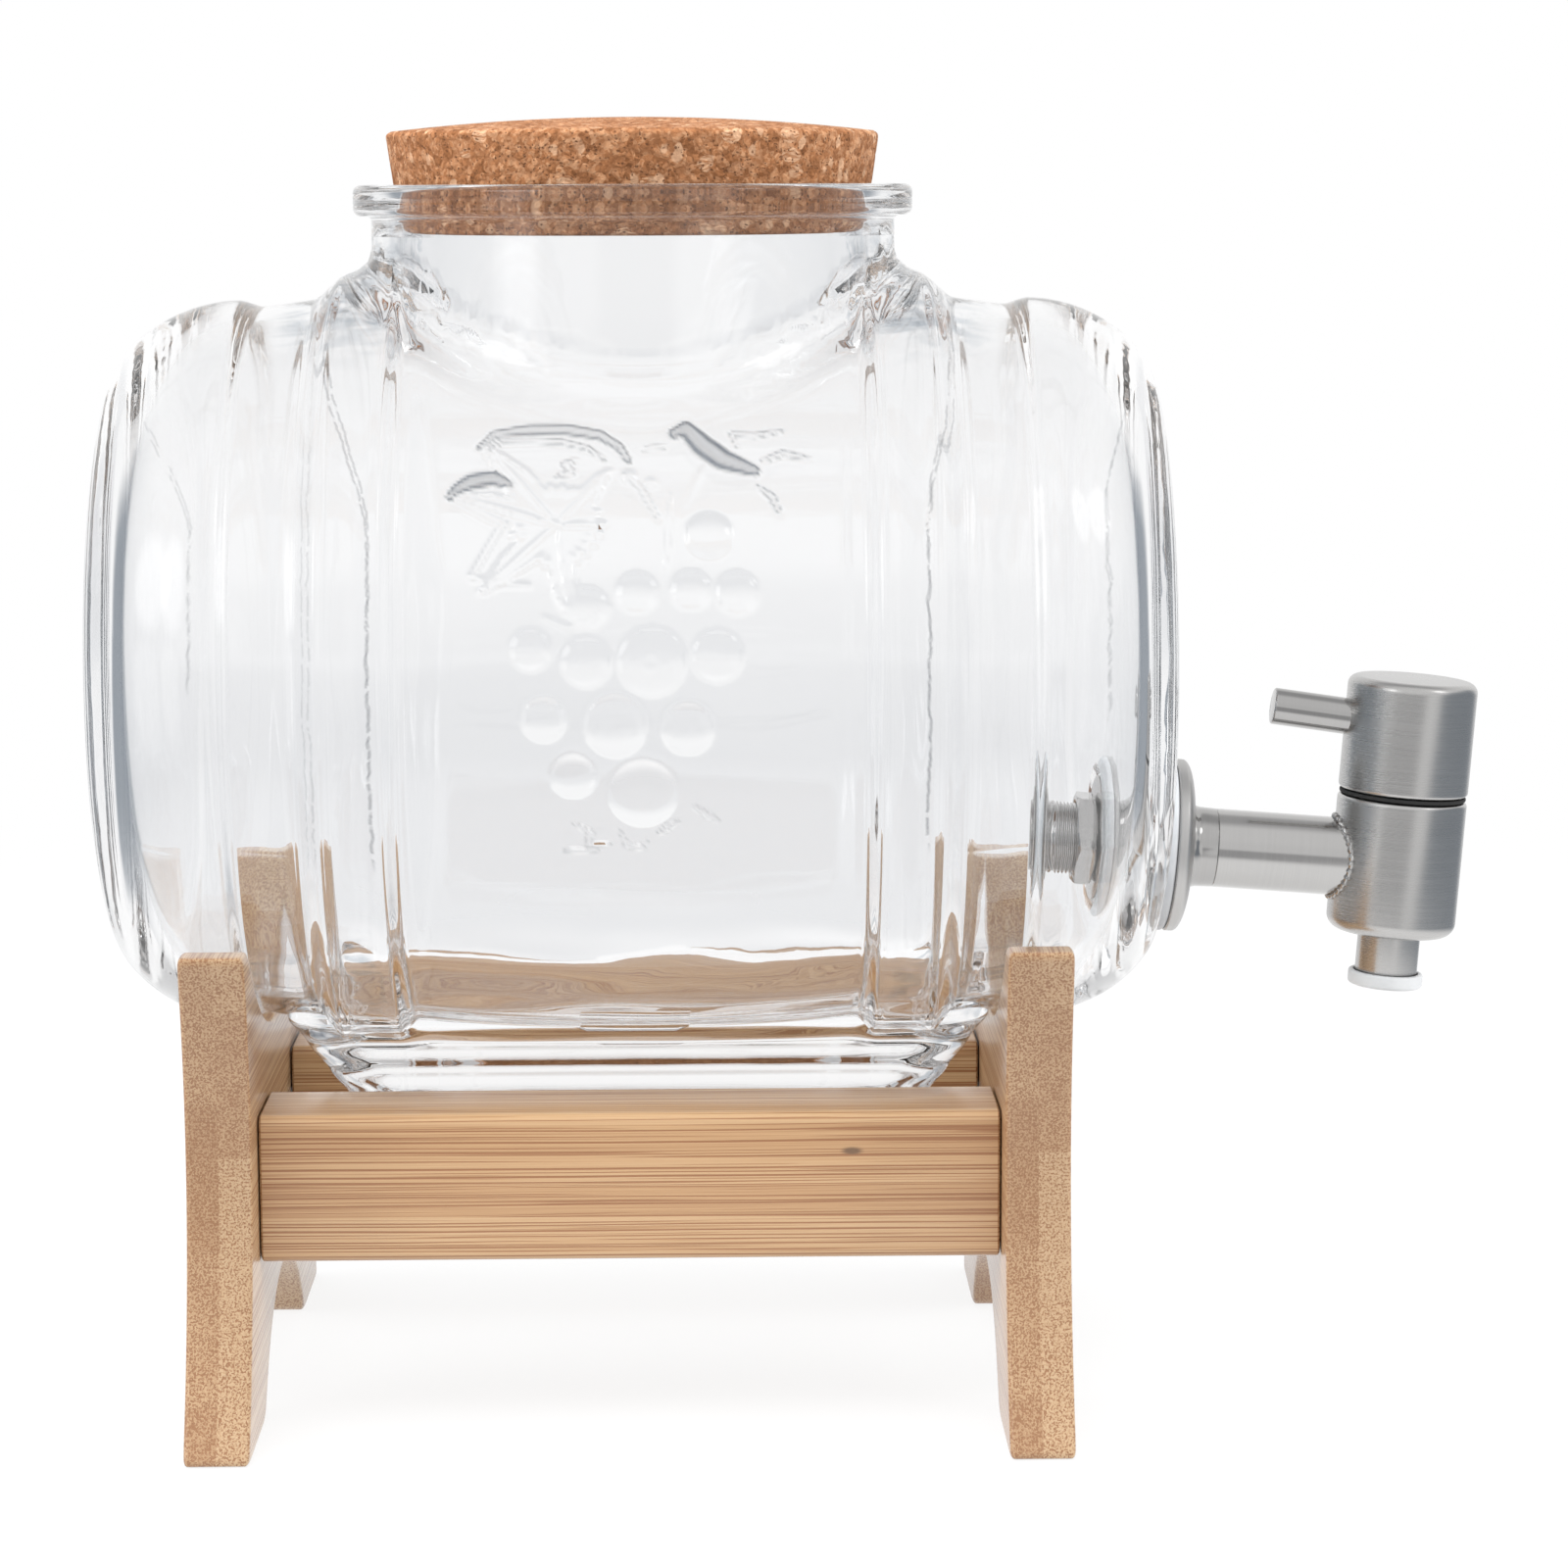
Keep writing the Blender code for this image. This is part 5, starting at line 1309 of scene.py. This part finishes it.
class MakeStand(bpy.types.Operator):
    """Builds the bamboo stand: two end boards and two rails, and finishes the dowels"""
    bl_idname = "dispenser.make_stand"
    bl_label = "Bamboo stand"

    def execute(self, context):
        looks = context.scene.dispenser.bamboo
        tones = [tuple(tone) for tone in (looks.dark, looks.warm, looks.pale)]
        edges = [tuple(looks.edge_shade * part * grey for part, grey in zip(tone, EDGE_GREY))
                 for tone in tones]
        rail = bamboo_material("bamboo_rail", looks, "X", looks.rail_strip, looks.rail_strip, tones,
                               0.10, 0.28, knot=KNOT_PLACE)
        for side, low, high in (("left", left_low, left_high), ("right", right_low, right_high)):
            board = bamboo_material("bamboo_" + side, looks, "Y", looks.board_strip, looks.board_ply,
                                    edges, 0.30, 0.40, (low.x + high.x) / 2)
            settle(end_board(side + "_board", low, high), "stand", "bamboo", board, side + "_end_frame")
        for node in ("front_rail", "rear_rail"):
            settle(rail_bar(node + "_bar", node), "stand", "bamboo", rail, node)
        beech = moulded("dowel_wood")
        for name, node in frame["nodes"].items():
            if name.startswith("dowel_"):
                node.material_slots[0].material = beech
        return {"FINISHED"}


class MakeTapMounting(bpy.types.Operator):
    """Builds what clamps the tap in the glass: gaskets, cover washer, threaded shank, washer and nut"""
    bl_idname = "dispenser.make_tap_mounting"
    bl_label = "Tap mounting"

    def execute(self, context):
        looks = context.scene.dispenser.steel
        gasket = INNER_SEAT - FIT - GASKET
        grey, white = moulded("grey_silicone"), moulded("white_silicone")
        satin, polished = steel("steel_satin", looks), steel("steel_polished", looks)
        for piece, slot, material, node in (
                (washer("outer_gasket_ring", SHANK_HOLE, 0.0180, FIT, 0.0026, 0.0009),
                 "grey_silicone", grey, "outer_gasket"),
                (flange_cap(), "brushed_steel", satin, "tap_flange"),
                (thread_shank(), "brushed_steel", polished, "threaded_shank"),
                (washer("inner_gasket_ring", SHANK_HOLE, 0.0140, gasket, GASKET, 0.0004),
                 "white_silicone", white, "inner_gasket"),
                (washer("inner_washer_ring", SHANK_HOLE, 0.0135, gasket - FIT - WASHER, WASHER, 0.0002),
                 "brushed_steel", polished, "inner_washer"),
                (hex_nut(), "brushed_steel", polished, "lock_nut")):
            settle(piece, "jar", slot, material, node)
        return {"FINISHED"}


class MakeTap(bpy.types.Operator):
    """Builds the tap: inlet pipe, weld, body, spout, soft tip, seal (with its CAD rubber), knob and lever"""
    bl_idname = "dispenser.make_tap"
    bl_label = "Tap"

    def execute(self, context):
        looks = context.scene.dispenser.steel
        upright, polished = steel("steel_upright", looks), steel("steel_polished", looks)
        rubber = frame["nodes"]["bearing_ring"].material_slots[0].material
        settle(inlet_pipe(), "jar", "brushed_steel", steel("steel_pipe", looks), "inlet_pipe")
        settle(weld_bead(), "jar", "brushed_steel", polished)
        for piece, (body, slot, material, node) in zip(tap_bodies(), (
                ("jar", "brushed_steel", upright, "tap_body"),
                ("jar", "brushed_steel", upright, "outlet_tube"),
                ("jar", "clear_silicone", moulded("clear_silicone"), "outlet_tip"),
                ("jar", "black_rubber", rubber, "bearing_ring"),
                ("knob", "brushed_steel", upright, "knob_shell"),
                ("knob", "brushed_steel", polished, "lever_pin"))):
            settle(piece, body, slot, material, node)
        return {"FINISHED"}


class FinishInnerParts(bpy.types.Operator):
    """Finishes the valve's hidden core and nut, which keep their CAD shapes, as the O-rings keep all"""
    bl_idname = "dispenser.finish_inner_parts"
    bl_label = "Inner parts"

    def execute(self, context):
        nodes, looks = frame["nodes"], context.scene.dispenser.steel
        nodes["valve_core"].material_slots[0].material = moulded("white_nylon")
        nodes["cap_nut"].material_slots[0].material = steel("steel_upright", looks)
        return {"FINISHED"}


class MakeStudio(bpy.types.Operator):
    """Builds the pale floor, the soft light and the camera"""
    bl_idname = "dispenser.make_studio"
    bl_label = "Studio"

    def execute(self, context):
        looks = context.scene.dispenser.studio
        studio_floor(looks)
        studio_light(looks)
        studio_camera(looks)
        context.scene.view_settings.view_transform = "Standard"
        cycles = context.scene.cycles
        cycles.max_bounces = cycles.transmission_bounces = cycles.glossy_bounces = GLASS_BOUNCES
        cycles.transparent_max_bounces = GLASS_BOUNCES
        return {"FINISHED"}


# Soft lamps in front, as mirrors see them: (direction, where it starts, where it is full, brightness)
SOFT_LAMPS = (((-0.79, -0.61, 0.0), 0.975, 0.992, 1.5), ((0.54, -0.84, 0.0), 0.955, 0.985, 0.95),
              ((-0.72, -0.55, 0.42), 0.960, 0.990, 3.0), ((0.72, -0.55, 0.42), 0.975, 0.992, 0.98),
              ((0.60, -0.42, 0.68), 0.984, 0.994, 3.0))


def surround_group(name):
    """What mirrors and glass see around the object, by direction.

    It is pale behind and above, with blue-grey screens at the sides and a dimmer room in front, where
    soft lamps hang.
    """
    g, given = new_group(name, {"Direction": "Vector"}, {"Colour": "Color"})
    aim = g.vectors("NORMALIZE", given[0])[0]
    x, y, z = g.parts(aim)
    colour = g.ramp(g.ranged(z, -0.10, -0.03), (0.0, (0.87, 0.875, 0.885)), (1.0, (1.0, 1.0, 1.0)))
    colour = g.mixed(g.ranged(y, -0.25, -0.60), colour, (0.48, 0.48, 0.485))
    front = g.times(g.ranged(z, 0.02, 0.12), g.ranged(y, -0.50, -0.75))
    colour = g.mixed(front, colour, (0.88, 0.88, 0.88))
    colour = g.mixed(g.ranged(g.math("ABSOLUTE", x), 0.64, 0.82), colour, (0.30, 0.33, 0.365))
    colour = g.mixed(g.ranged(z, 0.36, 0.60), colour, (0.92, 0.92, 0.92))
    above = g.times(g.ranged(z, 0.70, 0.90), g.ranged(y, -0.35, 0.10))
    colour = g.mixed(above, colour, (0.52, 0.52, 0.525))
    for place, low, high, bright in SOFT_LAMPS:
        near = g.vectors("DOT_PRODUCT", aim, place)["Value"]
        colour = g.mixed(g.ranged(near, low, high), colour, (bright, bright, bright))
    return g.ended({"Colour": colour})


def studio_floor(looks):
    """A pale round floor that turns into the backdrop's own light far from the object."""
    rings = np.array([0.3, 0.6, 1.0, 1.6, 2.6, 4.0])[:, None]
    turn = np.arange(96) * math.tau / 96
    grid = np.stack(np.broadcast_arrays(rings * np.cos(turn), rings * np.sin(turn), -0.0001), -1)
    points = np.vstack([grid.reshape(-1, 3), [(0.0, 0.0, -0.0001)]])
    faces = [grid_faces(len(rings), 96), fan(np.arange(96)[::-1], len(points) - 1)]
    data = bpy.data.meshes.new("studio_floor")
    data.from_pydata(points, [], [row for group in faces for row in group[:, ::-1].tolist()])
    floor = bpy.data.objects.new("studio_floor", data)
    bpy.context.scene.collection.objects.link(floor)
    material, g = fresh_material("pale_floor")
    place = g.place()
    reach = g.vectors("LENGTH", place)["Value"]
    paper = g.add("ShaderNodeBsdfPrincipled", {
        "Base Color": (*looks.floor, 1.0), "Roughness": g.ranged(g.noise(place, 40.0), 0.3, 0.7, 0.75, 0.85),
        "Specular IOR Level": 0.2})
    glow = g.add("ShaderNodeEmission", {"Color": (1.0, 1.0, 1.0, 1.0), "Strength": 1.0})
    seen = g.add("ShaderNodeMixShader", {0: g.ranged(reach, 0.16, 0.80, looks.floor_glow, 1.0),
                                         1: paper.outputs[0], 2: glow.outputs[0]})
    seen_from = g.vectors("SUBTRACT", place, (0.0, 0.0, 0.09))[0]
    colour = g.grouped(surround_group, "studio_surround", {"Direction": seen_from})["Colour"]
    around = g.add("ShaderNodeEmission", {"Color": colour, "Strength": 1.0})
    glossy = g.add("ShaderNodeLightPath").outputs["Is Glossy Ray"]
    data.materials.append(surfaced(material, g, g.add("ShaderNodeMixShader", {
        0: g.times(glossy, g.ranged(reach, 0.22, 0.45)), 1: seen.outputs[0], 2: around.outputs[0]})))
    return floor


def studio_light(looks):
    """The surround as mirrors see it, white for the camera and for matt surfaces, and three soft lights."""
    world = bpy.data.worlds.new("studio")
    bpy.context.scene.world = world
    world.use_nodes = True
    world.node_tree.nodes.clear()
    g = Graph(world.node_tree)
    direction = g.add("ShaderNodeTexCoord").outputs["Generated"]
    around = g.grouped(surround_group, "studio_surround", {"Direction": direction})["Colour"]
    path = g.add("ShaderNodeLightPath").outputs
    colour = g.mixed(path["Is Diffuse Ray"], around, (0.90, 0.90, 0.90))
    colour = g.mixed(path["Is Camera Ray"], colour, (1.0, 1.0, 1.0))
    background = g.add("ShaderNodeBackground", {"Color": colour, "Strength": 1.0})
    g.add("ShaderNodeOutputWorld", {"Surface": background.outputs[0]})
    aim = Matrix.Translation((0.0, 0.0, 0.10)).to_translation()
    for name, place, size, power in (("key_light", (-0.20, -0.35, 1.35), 0.9, looks.key_power),
                                     ("left_light", (-1.25, -0.30, 0.45), 0.6, looks.fill_power),
                                     ("right_light", (1.25, -0.30, 0.45), 0.6, looks.fill_power)):
        lamp = bpy.data.lights.new(name, "AREA")
        lamp.size, lamp.energy = size, power
        holder = bpy.data.objects.new(name, lamp)
        holder.visible_glossy = holder.visible_transmission = False
        bpy.context.scene.collection.objects.link(holder)
        spot = Matrix.Translation(place)
        away = spot.to_translation() - aim
        holder.matrix_world = spot @ away.to_track_quat("Z", "Y").to_matrix().to_4x4()


def studio_camera(looks):
    """The camera at the photograph's place and angles: its axes are the rows of roll, pitch and yaw."""
    yaw, pitch, roll = looks.camera_yaw, looks.camera_pitch, looks.camera_roll
    turn = Matrix.Rotation(roll, 3, "Y") @ Matrix.Rotation(pitch, 3, "X") @ Matrix.Rotation(-yaw, 3, "Z")
    right, ahead, up = turn
    lens = bpy.data.cameras.new("camera")
    lens.lens = looks.lens
    lens.sensor_width = 36.0
    lens.clip_end = 20.0
    camera = bpy.data.objects.new("camera", lens)
    bpy.context.scene.collection.objects.link(camera)
    axes = Matrix((right, up, -ahead)).transposed()
    camera.matrix_world = Matrix.Translation(looks.camera_place) @ axes.to_4x4()
    bpy.context.scene.camera = camera


class DispenserPanel(bpy.types.Panel):
    """Lists the dispenser's settings and the buttons that build it."""
    bl_idname = "DISPENSER_PT_looks"
    bl_label = "Drink dispenser"
    bl_space_type = "VIEW_3D"
    bl_region_type = "UI"
    bl_category = "Dispenser"

    def draw(self, context):
        looks = context.scene.dispenser
        for operator in OPERATORS:
            self.layout.operator(operator.bl_idname)
        for name in ("glass", "cork", "bamboo", "steel", "studio"):
            box = self.layout.box()
            box.label(text=name.capitalize())
            group = getattr(looks, name)
            for label in group.__annotations__:
                box.prop(group, label)


GROUPS = (GlassLooks, CorkLooks, BambooLooks, SteelLooks, StudioLooks, DispenserLooks)
OPERATORS = (MakeJar, MakeCork, MakeStand, MakeTapMounting, MakeTap, FinishInnerParts, MakeStudio)


def register():
    """Registers the settings, operators and panel."""
    for made in (*GROUPS, *OPERATORS, DispenserPanel):
        bpy.utils.register_class(made)
    bpy.types.Scene.dispenser = PointerProperty(type=DispenserLooks)


def unregister():
    """Takes the settings, operators and panel away again."""
    del bpy.types.Scene.dispenser
    for made in reversed((*GROUPS, *OPERATORS, DispenserPanel)):
        bpy.utils.unregister_class(made)


def main():
    """Builds every piece."""
    register()
    for operator in OPERATORS:
        getattr(bpy.ops.dispenser, operator.bl_idname.split(".")[1])()


if __name__ == "__main__":
    main()
